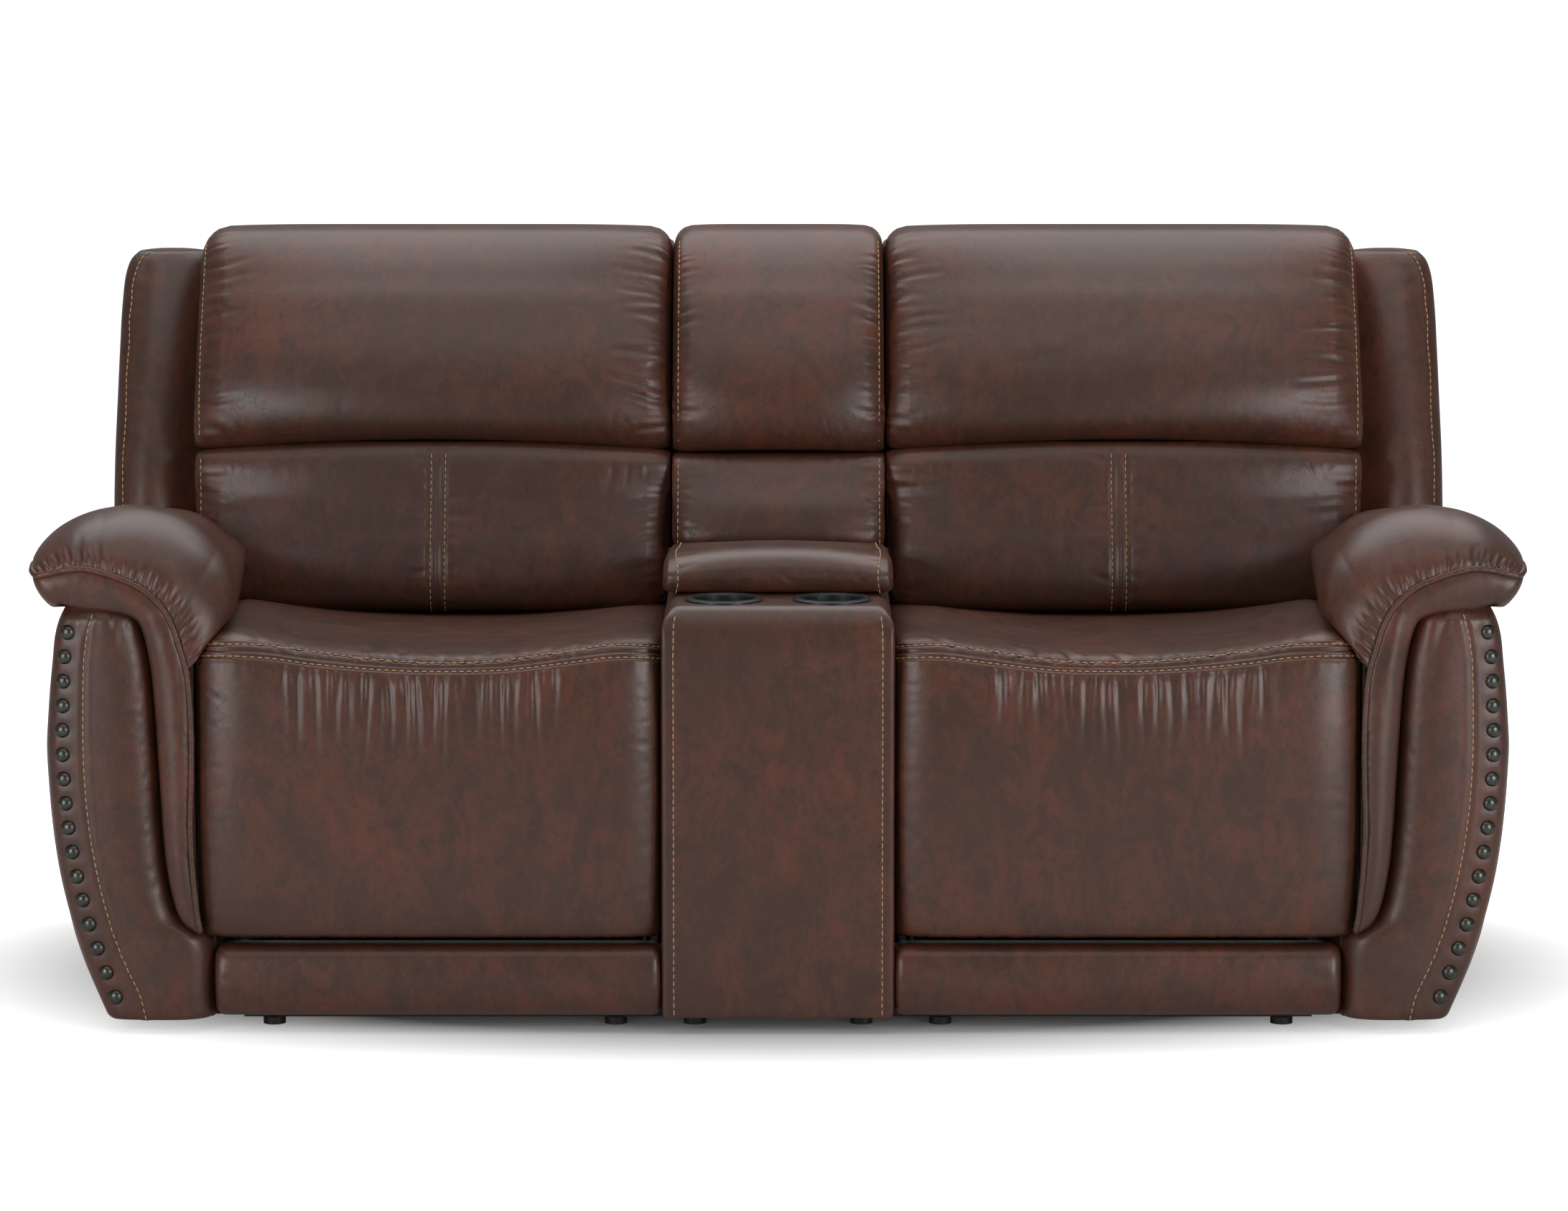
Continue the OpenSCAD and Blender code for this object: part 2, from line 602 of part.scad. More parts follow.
module lumbar_pillow() {
    x0 = pillow_out_x + 10;
    step_x = arm_in_x + pad_over_in;
    lumbar_pillow_of([x0, x0 + 6, x0 + 30, step_x - 1, step_x + 26, step_x + 70, seat_mid_x - 90, seat_mid_x - 26,
        seat_mid_x, seat_mid_x + 26, seat_mid_x + 90, back_in_x - 110, back_in_x - 40, back_in_x - 8, back_in_x],
        seat_top_z - 14, 0.06, 0.016);
}

// Wing: an upright roll outside the pillows, behind the arm
module wing() {
    zs = [for (i = [0:9]) back_pin_z + 6 + (wing_top_z - back_pin_z - 6) * i / 9];
    color(leather) loft([for (i = [0:9])
        let (z = zs[i], s = i == 9 ? 0.55 : i == 8 ? 0.9 : 1,
            x0 = wing_edge(z) - wing_proud, x1 = wing_in_x,
            y0 = max(arm_rear_y + 5, frame_y(z) - 130 + 30 * ease((z - 640) / 300)), y1 = frame_y(z) - rest_gap,
            cx = (x0 + x1) / 2, cy = y1)
        [for (p = [[x0, y1], [x0 - 1, cy - 0.45 * (y1 - y0)], [x0 + 8, y0 + 14], [x0 + 30, y0],
            [cx + 6, y0 + 6], [x1 - 16, y0 + 22], [x1, y0 + 50], [x1, y1]])
            [cx + s * (p[0] - cx), cy + s * (p[1] - cy), z]]]);
}

module console_back_frame() {
    color(wood) {
        for (s = [-1, 1]) lean_board(s * 100 - 9, s * 100 + 9, cross_top_z, frame_top_z);
        for (z = cross_zs) lean_board(-100, 100, z, z + 60);
    }
}

module console_back_shell() {
    color(leather) shell_of(-case_x, case_x);
}

module console_head_pillow() {
    head_pillow_of(-case_x + 1, case_x - 1, 0.07, 0);
}

module console_lumbar_pillow() {
    lumbar_pillow_of([for (t = steps(11)) t * (case_x - 1)], deck_z + 7, 0.04, 0);
}

// Footrests: each board turns about a point ahead of and above its upper edge
rest_top_z = 480;
rest_back_y = front_y + 6 + rest_pad_t;
// Seat parts in front of the seat frame stay behind this place
rest_open_y = rest_back_y + rest_gap + board_t + 3;
rest_out_x = seat_out_x;
swing_y = back_from(15) - 47;
swing_z = rest_top_z + 58;

module footrest_pad() {
    outline = spline([[front_y + 12, rest_bottom_z + 6], [front_y + 3, rest_bottom_z + 40], [front_y, 250],
        [front_y, 350], [front_y + 2, 420], [front_y + 7, rest_top_z - 18], [front_y + 24, rest_top_z],
        [rest_back_y - 14, rest_top_z - 2], [rest_back_y, rest_top_z - 16], [rest_back_y, 380], [rest_back_y, 270],
        [rest_back_y, rest_bottom_z + 44], [rest_back_y - 12, rest_bottom_z + 14], [front_y + 28, rest_bottom_z]], 1);
    color(leather) roll_x(outline, [front_y + rest_pad_t / 2, 304], rest_out_x, seat_in_x, 0.085, 11);
}

// Linkage: crank pivots on the mechanism plates, and coupler pins on the board brackets
crank_a = [back_from(170), 365];
crank_b = [back_from(220), 330];
brace_a = [back_from(122), 380];
brace_b = [back_from(122), 345];
swing = [swing_y, swing_z];
knee_a = crank_a + brace_a - swing;
knee_b = crank_b + brace_b - swing;
rail_plane = seat_half - 23.5;
layer = link_t + 2;

module footrest_board() {
    y0 = rest_back_y + rest_gap;
    y1 = y0 + board_t;
    color(wood) difference() {
        union() {
            box(seat_out_x + 12, seat_in_x - 12, y0, y1, rest_bottom_z + 24, rest_top_z - 12);
            for (s = [-1, 1], q = [[brace_a, layer], [brace_b, -layer]])
                let (x = seat_mid_x + s * (rail_plane + q[1])) hull() {
                    bar_x(link_w, x - link_t / 2, x + link_t / 2, q[0][0], q[0][1]);
                    box(x - link_t / 2, x + link_t / 2, y1 - 1, y1, q[0][1] - 15, q[0][1] + 15);
                }
        }
        for (q = [brace_a, brace_b]) bar_x(pin_d + 2 * pin_fit, seat_out_x, seat_in_x, q[0], q[1]);
    }
}

// Flat steel link in the plane x, with a bore at each end that is not a tube or pin of its own
module link(x, p, q, bore_p, bore_q) {
    a = atan2(q[1] - p[1], q[0] - p[0]);
    l = norm(q - p);
    along_x(x - link_t / 2, x + link_t / 2) translate(p) rotate(a) difference() {
        union() {
            translate([0, -link_w / 2 + 2]) square([l, link_w - 4]);
            circle(d = link_w, $fn = 48);
            translate([l, 0]) circle(d = link_w, $fn = 48);
        }
        if (bore_p > 0) circle(d = bore_p, $fn = 48);
        if (bore_q > 0) translate([l, 0]) circle(d = bore_q, $fn = 48);
    }
}

bore_d = pin_d + 2 * pin_fit;

module front_cranks() {
    color(steel) {
        difference() {
            union() {
                for (s = [-1, 1]) let (x = seat_mid_x + s * (rail_plane + layer)) {
                    link(x, crank_a, knee_a, 0, 0);
                    bar_x(tube_d + 8, x - link_t / 2, x + link_t / 2, crank_a[0], crank_a[1]);
                    bar_x(pin_d, s < 0 ? x - layer - link_t / 2 - 1 : x, s < 0 ? x : x + layer + link_t / 2 + 1,
                        knee_a[0], knee_a[1]);
                }
                bar_x(tube_d, seat_mid_x - rail_plane - layer, seat_mid_x + rail_plane + layer,
                    crank_a[0], crank_a[1]);
            }
            bar_x(tube_d - 2 * tube_wall, seat_out_x, seat_in_x, crank_a[0], crank_a[1]);
        }
    }
}

module front_couplers() {
    color(steel) for (s = [-1, 1]) let (x = seat_mid_x + s * (rail_plane + 2 * layer)) {
        link(x, knee_a, brace_a, bore_d, 0);
        bar_x(pin_d, s < 0 ? x : x - layer - link_t / 2, s < 0 ? x + layer + link_t / 2 : x, brace_a[0], brace_a[1]);
    }
}

module rear_cranks() {
    color(steel) for (s = [-1, 1]) let (x = seat_mid_x + s * (rail_plane - layer)) {
        link(x, crank_b, knee_b, bore_d, 0);
        bar_x(pin_d, s < 0 ? x : x - layer - link_t / 2 - 1, s < 0 ? x + layer + link_t / 2 + 1 : x,
            knee_b[0], knee_b[1]);
    }
}

module rear_couplers() {
    color(steel) for (s = [-1, 1]) let (x = seat_mid_x + s * (rail_plane - 2 * layer)) {
        link(x, knee_b, brace_b, bore_d, 0);
        bar_x(pin_d, s < 0 ? x - layer - link_t / 2 : x, s < 0 ? x : x + layer + link_t / 2, brace_b[0], brace_b[1]);
    }
}

// Mechanism plates: one on each side of a seat, standing on the base and carrying the pivots
seat_tube = 25;
seat_low_z = 385;

module mech_outline() {
    difference() {
        union() {
            polygon([[back_from(140), seat_low_z], [back_from(140), 345], [back_from(180), 300], [back_from(250), base_top_z],
                [back_from(330), base_top_z], [back_from(340), 300], [back_from(380), 335], [from_rear(450), 335],
                [from_rear(430), 300], [from_rear(440), base_top_z], [from_rear(360), base_top_z],
                [from_rear(340), back_pin_z - 60],
                [pin_y, back_pin_z - 26], [pin_y + 26, back_pin_z], [pin_y, back_pin_z + 26],
                [from_rear(360), seat_low_z]]);
            translate([pin_y, back_pin_z]) circle(r = 26, $fn = 48);
        }
        translate(crank_a) circle(d = tube_d + 2 * pin_fit, $fn = 48);
    }
}

module mech_plates() {
    color(steel) for (s = [-1, 1]) let (x = seat_mid_x + s * rail_plane) {
        along_x(x - link_t / 2, x + link_t / 2) mech_outline();
        bar_x(pin_d, s < 0 ? x : x - layer - link_t / 2 - 1, s < 0 ? x + layer + link_t / 2 + 1 : x,
            crank_b[0], crank_b[1]);
        bar_x(pin_d + 6, s < 0 ? x : x - side_board - link_t - 2, s < 0 ? x + side_board + link_t + 2 : x,
            pin_y, back_pin_z);
    }
}

// Seat frame: a tube rectangle with a nose board in front
frame_y0 = back_from(145);
frame_y1 = from_rear(380);
nose_t = 14;

module seat_frame() {
    x0 = seat_mid_x - rail_plane - 2;
    x1 = seat_mid_x + rail_plane + 2;
    z0 = seat_low_z;
    z1 = seat_low_z + seat_tube;
    color(steel) union() {
        for (x = [x0, x1 - seat_tube]) box(x, x + seat_tube, frame_y0, frame_y1, z0, z1);
        for (y = [frame_y0, frame_y1 - seat_tube]) box(x0, x1, y, y + seat_tube, z0, z1);
    }
    color(wood) box(x0, x1, rest_open_y + 2, frame_y0 + seat_tube + 30, z1, z1 + nose_t);
}

// Sinuous springs: each wire zigzags from the front tube to the rear one
wire_z = seat_low_z + seat_tube + spring_d / 2 + rest_gap;
wave = 26;
turns = 7;

module seat_springs() {
    y0 = frame_y0 + seat_tube + 32;
    y1 = frame_y1 - 4;
    n = turns * 8;
    path = [for (i = [0:n]) [wave * sin(45 * i), y0 + (y1 - y0) * i / n]];
    across = [for (i = [0:n]) let (a = path[max(i - 1, 0)], b = path[min(i + 1, n)], d = (b - a) / norm(b - a))
        [d[1], -d[0]] * spring_d / 2];
    color(steel) for (k = [0:spring_count - 1])
        let (x = seat_mid_x + (k - (spring_count - 1) / 2) * (2 * rail_plane - 90) / (spring_count - 1))
        translate([x, 0, wire_z - spring_d / 2]) linear_extrude(spring_d)
            polygon(concat([for (i = [0:n]) path[i] + across[i]], [for (i = [n:-1:0]) path[i] - across[i]]));
}

module seat_cushion() {
    low = seat_low_z + seat_tube + spring_d + 2 * rest_gap;
    nose = low - spring_d + nose_t;
    top = seat_top_z;
    outline = spline([[front_y + 7, rest_top_z + 8], [front_y + 5, rest_top_z + 16], [front_y + 16, top - 4],
        [front_y + 60, top + 1], [back_from(190), top], [back_from(380), top - 6], [from_rear(520), top - 16],
        [from_rear(440), top - 22], [from_rear(396), top - 26], [from_rear(388), top - 56], [from_rear(400), low],
        [back_from(420), low], [back_from(240), low], [back_from(214), nose], [rest_open_y + 12, nose],
        [rest_open_y + 2, nose + 10], [rest_open_y, rest_top_z - 8], [rest_open_y - 8, rest_top_z + 3],
        [front_y + 22, rest_top_z + 3]], 1);
    color(leather) roll_x(outline, [(front_y + arm_rear_y) / 2, top - 40], seat_out_x, seat_in_x, 0.05, 11);
}

base_frame();
glides();
side(false) front_rail();  // left_front_rail
side(true) front_rail();  // right_front_rail
side(false) arm_frame();  // left_arm_frame
side(true) arm_frame();  // right_arm_frame
side(false) arm_side();  // left_arm_side
side(true) arm_side();  // right_arm_side
side(false) arm_front();  // left_arm_front
side(true) arm_front();  // right_arm_front
side(false) arm_band();  // left_arm_band
side(true) arm_band();  // right_arm_band
side(false) arm_pad();  // left_arm_pad
side(true) arm_pad();  // right_arm_pad
nailheads();
side(false) release_cup();  // left_release_cup
side(true) release_cup();  // right_release_cup
side(false) release_handle();  // left_release_handle
side(true) release_handle();  // right_release_handle
console_box();
console_cover();
cup_holders();
console_hinge();
console_lid_board();
console_lid_pad();
console_back_frame();
console_back_shell();
console_head_pillow();
console_lumbar_pillow();
side(false) mech_plates();  // left_mech_plates
side(true) mech_plates();  // right_mech_plates
side(false) seat_frame();  // left_seat_frame
side(true) seat_frame();  // right_seat_frame
side(false) seat_springs();  // left_seat_springs
side(true) seat_springs();  // right_seat_springs
side(false) seat_cushion();  // left_seat_cushion
side(true) seat_cushion();  // right_seat_cushion
side(false) back_frame();  // left_back_frame
side(true) back_frame();  // right_back_frame
side(false) back_shell();  // left_back_shell
side(true) back_shell();  // right_back_shell
side(false) wing();  // left_wing
side(true) wing();  // right_wing
side(false) head_pillow();  // left_head_pillow
side(true) head_pillow();  // right_head_pillow
side(false) lumbar_pillow();  // left_lumbar_pillow
side(true) lumbar_pillow();  // right_lumbar_pillow
side(false) footrest_board();  // left_footrest_board
side(true) footrest_board();  // right_footrest_board
side(false) footrest_pad();  // left_footrest_pad
side(true) footrest_pad();  // right_footrest_pad
side(false) front_cranks();  // left_front_cranks
side(true) front_cranks();  // right_front_cranks
side(false) front_couplers();  // left_front_couplers
side(true) front_couplers();  // right_front_couplers
side(false) rear_cranks();  // left_rear_cranks
side(true) rear_cranks();  // right_rear_cranks
side(false) rear_couplers();  // left_rear_couplers
side(true) rear_couplers();  // right_rear_couplers
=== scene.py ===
"""Leather, stitching, nailheads and stage for a reclining loveseat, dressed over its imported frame."""

import math

import bmesh
import bpy
import numpy as np
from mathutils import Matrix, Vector
from mathutils.bvhtree import BVHTree


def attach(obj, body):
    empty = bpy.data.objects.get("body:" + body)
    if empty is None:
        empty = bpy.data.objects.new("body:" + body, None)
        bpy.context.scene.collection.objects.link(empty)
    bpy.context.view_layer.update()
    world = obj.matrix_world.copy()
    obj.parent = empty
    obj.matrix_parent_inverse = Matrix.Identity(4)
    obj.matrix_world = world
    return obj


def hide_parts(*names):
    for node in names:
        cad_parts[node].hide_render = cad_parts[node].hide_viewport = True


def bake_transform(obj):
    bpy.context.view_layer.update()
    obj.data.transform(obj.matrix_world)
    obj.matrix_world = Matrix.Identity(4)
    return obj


bl_info = {
    "name": "Reclining loveseat",
    "version": (1, 0, 0),
    "blender": (4, 5, 0),
    "location": "View3D > Sidebar > Loveseat",
    "description": "Dresses the frame of a reclining loveseat in stitched leather",
    "category": "Object",
}

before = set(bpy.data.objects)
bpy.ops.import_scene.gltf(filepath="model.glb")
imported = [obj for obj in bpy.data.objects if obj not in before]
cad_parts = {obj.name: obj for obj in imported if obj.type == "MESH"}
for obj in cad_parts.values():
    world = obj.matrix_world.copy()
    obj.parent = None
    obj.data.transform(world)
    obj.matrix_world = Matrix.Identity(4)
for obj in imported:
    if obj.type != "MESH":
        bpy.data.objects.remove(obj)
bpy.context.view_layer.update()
MM = 0.001
SIDES = ("left", "right")

# Shapes are written for the left side in millimetres, and the right one is turned over at the end.
FRONT_Y = -520.0
SEAT_IN, SEAT_OUT = -155.0, -772.0
PILLOW_IN, HEAD_OUT, LUMBAR_OUT = -154.0, -836.0, -833.0
CONSOLE_HALF = 151.0
CHANNEL_X = -484.0  # middle of the lumbar pillow's double seam
ARM_REAR = 132.0
COVER_FOOT, PANEL_TOP = 19.0, 582.0  # lower and upper ends of the arm's front
AHEAD = (0, 1, 0)
WIDE = 400  # a pillow wider than this belongs to a seat, and a narrower one to the console

REACH = 3.3  # how far a mark is felt, in its widths
FAR_SIDE = 14  # a mark isn't felt on a face that lies this much deeper
THREAD_LIFT = 0.55  # how far a thread's middle stands off its cover

FOLD = "fold_"  # stands before a side's name for the seat's rows, which are baked in place and hung on no body
THREADS = {}  # rows of stitches, by the body that they ride on, or by FOLD and a side
NAILS = []  # rows of nails: places and outward directions


# ---------------------------------------------------------------- lines and skins


def run_through(points, count, closed=False):
    """A smooth line through the points, cut into evenly spaced points."""
    p = np.asarray(points, float)
    if closed:
        q = np.vstack([p[-1:], p, p[:2]])
    else:
        q = np.vstack([2 * p[:1] - p[1:2], p, 2 * p[-1:] - p[-2:-1]])
    t = np.linspace(0, 1, 14, endpoint=False)[:, None]
    fine = []
    for a, b, c, d in zip(q, q[1:], q[2:], q[3:]):
        bend, twist = 2 * a - 5 * b + 4 * c - d, 3 * b - a - 3 * c + d
        fine.append(0.5 * (2 * b + (c - a) * t + bend * t**2 + twist * t**3))
    fine = np.vstack(fine + [q[-2:-1]])
    far = np.r_[0, np.cumsum(np.linalg.norm(np.diff(fine, axis=0), axis=1))]
    at = np.linspace(0, far[-1], count, endpoint=not closed)
    return np.column_stack([np.interp(at, far, fine[:, k]) for k in range(p.shape[1])])


def follow(points):
    """A smooth function through (place, value) pairs."""
    line = run_through(sorted(points), 300)
    return lambda x: np.interp(x, line[:, 0], line[:, 1])


def step(a, b, x):
    """Goes smoothly from 0 at a to 1 at b."""
    t = np.clip((np.asarray(x, float) - a) / (b - a), 0, 1)
    return t * t * (3 - 2 * t)


def crowded(points, count, weight):
    """A smooth closed line whose points stand closer together where the weight is higher."""
    fine = run_through(points, 1500, True)
    fine = np.vstack([fine, fine[:1]])
    steps = np.linalg.norm(np.diff(fine, axis=0), axis=1) * weight((fine[1:] + fine[:-1]) / 2)
    far = np.r_[0, np.cumsum(steps)]
    at = np.linspace(0, far[-1], count, endpoint=False)
    return np.column_stack([np.interp(at, far, fine[:, k]) for k in range(fine.shape[1])])


def pull_in(section, by):
    """A closed flat section, moved inward by that much (one number, or one for each point)."""
    tangent = np.roll(section, -1, 0) - np.roll(section, 1, 0)
    out = np.column_stack([tangent[:, 1], -tangent[:, 0]])
    out /= np.maximum(np.linalg.norm(out, axis=1), 1e-6)[:, None]
    x, y = section.T
    if np.sum(x * np.roll(y, -1) - np.roll(x, -1) * y) < 0:
        out = -out
    return section - out * np.reshape(by, (-1, 1))


def stations(a, b, radius_a, radius_b, spacing, fine=None):
    """Places along a piece and how far its rounded ends are pulled in there.

    The spacing is finer at the places for which fine(x) gives another number.
    """
    turn = np.radians([0, 9, 18, 28, 39, 51, 65])
    head = [(a + radius_a * (1 - math.cos(t)), radius_a * (1 - math.sin(t))) for t in turn]
    tail = [(b - radius_b * (1 - math.cos(t)), radius_b * (1 - math.sin(t))) for t in turn]
    head.append((a + radius_a, 0.0))
    tail.append((b - radius_b, 0.0))
    grid = np.linspace(a + radius_a, b - radius_b, 1500)
    pace = np.full(len(grid), float(spacing)) if fine is None else fine(grid)
    far = np.r_[0, np.cumsum(np.diff(grid) / pace[1:])]
    count = max(2, int(round(far[-1])) + 1)
    middle = np.interp(np.linspace(0, far[-1], count), far, grid)
    return head[:-1] + [(x, 0.0) for x in middle] + tail[:-1][::-1]


def toward_each_other(left, right, way, *values):
    """Two sets of gathers that leave their seams toward each other."""
    return [(left, way, *values), (right, (-way[0], *way[1:]), *values)]


def at_x(x, ring):
    """A flat (y, z) ring, set at x."""
    return np.column_stack([np.full(len(ring), x), ring])


def at_z(z, ring):
    """A flat (x, y) ring, set at z."""
    return np.column_stack([ring, np.full(len(ring), z)])


def skin_of(rings, swell=(0.0, 0.0)):
    """Points and faces of a closed skin over a row of closed rings, with rounded end faces."""
    rings = [np.asarray(r, float) for r in rings]
    n = len(rings[0])

    def end(ring, inner, out):
        """Shrinking rows that close an end, and its middle point."""
        middle = ring.mean(0)
        way = middle - inner.mean(0)
        way /= max(np.linalg.norm(way), 1e-6)
        rows = [
            middle + (ring - middle) * s + way * out * (1 - s * s)
            for s in (0.88, 0.72, 0.54, 0.36, 0.18)
        ]
        return rows, middle + way * out

    head, first = end(rings[0], rings[min(4, len(rings) - 1)], swell[0])
    tail, last = end(rings[-1], rings[max(-5, -len(rings))], swell[1])
    rows = head[::-1] + rings + tail
    points = np.vstack(rows + [first[None], last[None]])
    faces = []
    for k in range(len(rows) - 1):
        a, b = k * n, (k + 1) * n
        for i in range(n):
            j = (i + 1) % n
            faces.append((a + i, a + j, b + j, b + i))
    total = len(rows) * n
    for i in range(n):
        j = (i + 1) % n
        faces.append((total, j, i))
        faces.append((total + 1, total - n + i, total - n + j))
    return points, faces


class Cover:
    """One leather cover while it is shaped, in millimetres.

    It holds its points and faces, how creased each point is (which the leather turns into painted shade in
    the valleys and a lighter rub with a painted highlight on the ridges), its own source of chance, and the
    marks that work() presses in. A mark is (line, width, depth, ridge beside it, how it fades).
    """

    def __init__(self, points, faces, seed=0):
        self.points = np.asarray(points, float)
        self.crease = np.zeros(len(self.points))
        self.quads = np.array([f for f in faces if len(f) == 4], int).reshape(-1, 4)
        self.tris = np.array([f for f in faces if len(f) == 3], int).reshape(-1, 3)
        self.chance = np.random.default_rng(seed)
        self.marks = []
        self.surface = None
        self.turn_out()

    def turn_out(self):
        """Turns the faces outward, by the sign of the volume that they hold."""
        volume = 0.0
        for faces in (self.quads, self.tris):
            if len(faces):
                a = self.points[faces[:, 0]]
                for k in range(1, faces.shape[1] - 1):
                    b, c = self.points[faces[:, k]], self.points[faces[:, k + 1]]
                    volume += np.einsum("ij,ij->i", a, np.cross(b, c)).sum()
        if volume < 0:
            self.quads, self.tris = self.quads[:, ::-1], self.tris[:, ::-1]

    def normals(self):
        """The outward direction at each point."""
        n = np.zeros_like(self.points)
        if len(self.quads):
            a, b, c, d = (self.points[self.quads[:, k]] for k in range(4))
            face = np.cross(c - a, d - b)
            for k in range(4):
                np.add.at(n, self.quads[:, k], face)
        if len(self.tris):
            a, b, c = (self.points[self.tris[:, k]] for k in range(3))
            face = np.cross(b - a, c - a)
            for k in range(3):
                np.add.at(n, self.tris[:, k], face)
        return n / np.maximum(np.linalg.norm(n, axis=1), 1e-9)[:, None]

    def lay(self, lines, way=None):
        """Drops lines onto the cover, and gives each point's place and the cover's direction there.

        With a way, each point is dropped along it, and otherwise it goes to the nearest place.
        """
        if self.surface is None:
            faces = [tuple(f) for f in self.quads.tolist() + self.tris.tolist()]
            self.surface = BVHTree.FromPolygons([tuple(p) for p in self.points.tolist()], faces)
        laid = []
        for line in lines:
            at, out = [], []
            for p in np.asarray(line, float):
                place = None
                if way is not None:
                    go = Vector(way).normalized()
                    place, normal, _, _ = self.surface.ray_cast(Vector(p) - go * 60, go, 150)
                if place is None:
                    place, normal, _, _ = self.surface.find_nearest(Vector(p))
                at.append(tuple(place))
                out.append(tuple(normal))
            laid.append((np.array(at), np.array(out)))
        return laid

    def groove(self, lines, width, depth, ridge, way=None):
        """Adds the groove of a seam along each line."""
        self.marks += [(at, width, depth, ridge, False) for at, _ in self.lay(lines, way)]

    def pinch(self, lines, widths, depths, ridge=0.5, way=None, fades="far end"):
        """Adds folds along lines, each with a width and depth of its own."""
        for at, _ in self.lay(lines, way):
            width, depth = self.chance.uniform(*widths), self.chance.uniform(*depths)
            self.marks.append((at, width, depth, depth * ridge, fades))

    def gather(self, sets, widths, depths, ridge=0.5, way=None):
        """Adds gathers. Each set holds what gather_lines takes."""
        lines = [line for values in sets for line in gather_lines(self.chance, *values)]
        self.pinch(lines, widths, depths, ridge, way)

    def work(self):
        """Presses the marks in."""
        n = self.normals()
        shift = np.zeros(len(self.points))
        for line, width, depth, ridge, fades in self.marks:
            line = np.asarray(line, float)
            low, high = line.min(0) - width * REACH, line.max(0) + width * REACH
            near = np.nonzero(np.all((self.points > low) & (self.points < high), axis=1))[0]
            if not len(near):
                continue
            q, out = self.points[near], n[near]
            best = np.full(len(near), 1e9)
            along = np.zeros(len(near))
            lengths = np.linalg.norm(np.diff(line, axis=0), axis=1)
            total, done = max(lengths.sum(), 1e-6), 0.0
            for a, b, size in zip(line[:-1], line[1:], lengths):
                if size < 1e-6:
                    continue
                t = np.clip(((q - a) @ (b - a)) / size**2, 0, 1)
                v = q - (a + t[:, None] * (b - a))
                lift = (v * out).sum(1)
                d = np.linalg.norm(v - out * (lift * 0.9)[:, None], axis=1)
                d[np.abs(lift) > FAR_SIDE] = 1e9
                closer = d < best
                best[closer] = d[closer]
                along[closer] = (done + t[closer] * size) / total
                done += size
            if fades == "far end":
                fade = np.minimum(along * 6, 1) * (1 - along) ** 0.8
            else:
                fade = np.sin(np.pi * along) ** 0.7 if fades else 1.0
            valley = np.exp(-((best / width) ** 2)) * fade
            rim = np.exp(-(((best - 1.8 * width) / width) ** 2)) * fade
            shift[near] += ridge * rim - depth * valley
            # The crease value is painted by the leather: shade in the valleys, and a lighter rub with a painted
            # highlight on the rims.
            self.crease[near] += valley * min(depth, 3.0) / 3.0 - rim * min(ridge, 2.0) / 4.0
        self.points = self.points + n * shift[:, None]
        self.surface = None

    def object(self, name, hand, body=None, stands_for=(), fill=None):
        """Makes the Blender object, turned over for the right hand, and hangs it on its body."""
        points = self.points * MM
        quads, tris = self.quads, self.tris
        if hand == "right":
            points = points * (-1, 1, 1)
            quads, tris = quads[:, ::-1], tris[:, ::-1]
        mesh = bpy.data.meshes.new(name)
        mesh.from_pydata(points.tolist(), [], quads.tolist() + tris.tolist())
        creases = mesh.attributes.new("crease", "FLOAT", "POINT")
        creases.data.foreach_set("value", np.clip(self.crease, -1, 1).astype(np.float32))
        mesh.shade_smooth()
        mesh.materials.append(finish_of("leather"))
        piece = bpy.data.objects.new(name, mesh)
        bpy.context.scene.collection.objects.link(piece)
        if stands_for:
            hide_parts(*stands_for)
        if body:
            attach(piece, body)
        return piece


def sew(cover, lines, hand, body, way=None):
    """Remembers stitch lines on a cover for the stitching operator."""
    for at, out in cover.lay(lines, way):
        at = at + out * THREAD_LIFT
        if hand == "right":
            at, out = at * (-1, 1, 1), out * (-1, 1, 1)
        THREADS.setdefault(body, []).append((at, out))


def gather_lines(chance, seam, way, count, lengths, spread=0.25, start=4.0, span=(0.0, 1.0), bend=0.05):
    """Short lines that leave a seam in one direction, each a little askew."""
    seam = np.asarray(seam, float)
    far = np.r_[0, np.cumsum(np.linalg.norm(np.diff(seam, axis=0), axis=1))]
    lines = []
    for k in range(count):
        share = span[0] + (span[1] - span[0]) * (k + chance.uniform(0.1, 0.9)) / count
        at, ahead = (
            np.array([np.interp(part * far[-1], far, seam[:, i]) for i in range(3)])
            for part in (share, min(share + 0.02, 1))
        )
        side = ahead - at
        side /= max(np.linalg.norm(side), 1e-6)
        go = np.asarray(way(share) if callable(way) else way, float)
        go = go / np.linalg.norm(go) + side * chance.normal(0, spread)
        go /= np.linalg.norm(go)
        size = chance.uniform(*lengths)
        bow = side * size * chance.normal(0, bend)
        parts = (0, 0.25, 0.5, 0.75, 1)
        lines.append([at + go * (start + size * s) + bow * math.sin(math.pi * s) for s in parts])
    return lines


# ---------------------------------------------------------------- materials


def new_tree(kind, name, inputs, outputs):
    """An empty node tree with named sockets, and the sockets of its input and output nodes."""
    tree = bpy.data.node_groups.new(name, kind)
    for label, sort, value in inputs:
        socket = tree.interface.new_socket(label, in_out="INPUT", socket_type="NodeSocket" + sort)
        if value is not None:
            socket.default_value = value
    for label, sort in outputs:
        tree.interface.new_socket(label, in_out="OUTPUT", socket_type="NodeSocket" + sort)
    return tree, tree.nodes.new("NodeGroupInput").outputs, tree.nodes.new("NodeGroupOutput").inputs


def add(tree, kind, values=(), **settings):
    """A node with its settings, and its inputs set to values or linked to sockets."""
    node = tree.nodes.new(kind)
    for key, value in settings.items():
        setattr(node, key, value)
    for key, value in dict(values).items():
        if isinstance(value, bpy.types.NodeSocket):
            tree.links.new(value, node.inputs[key])
        else:
            node.inputs[key].default_value = value
    return node


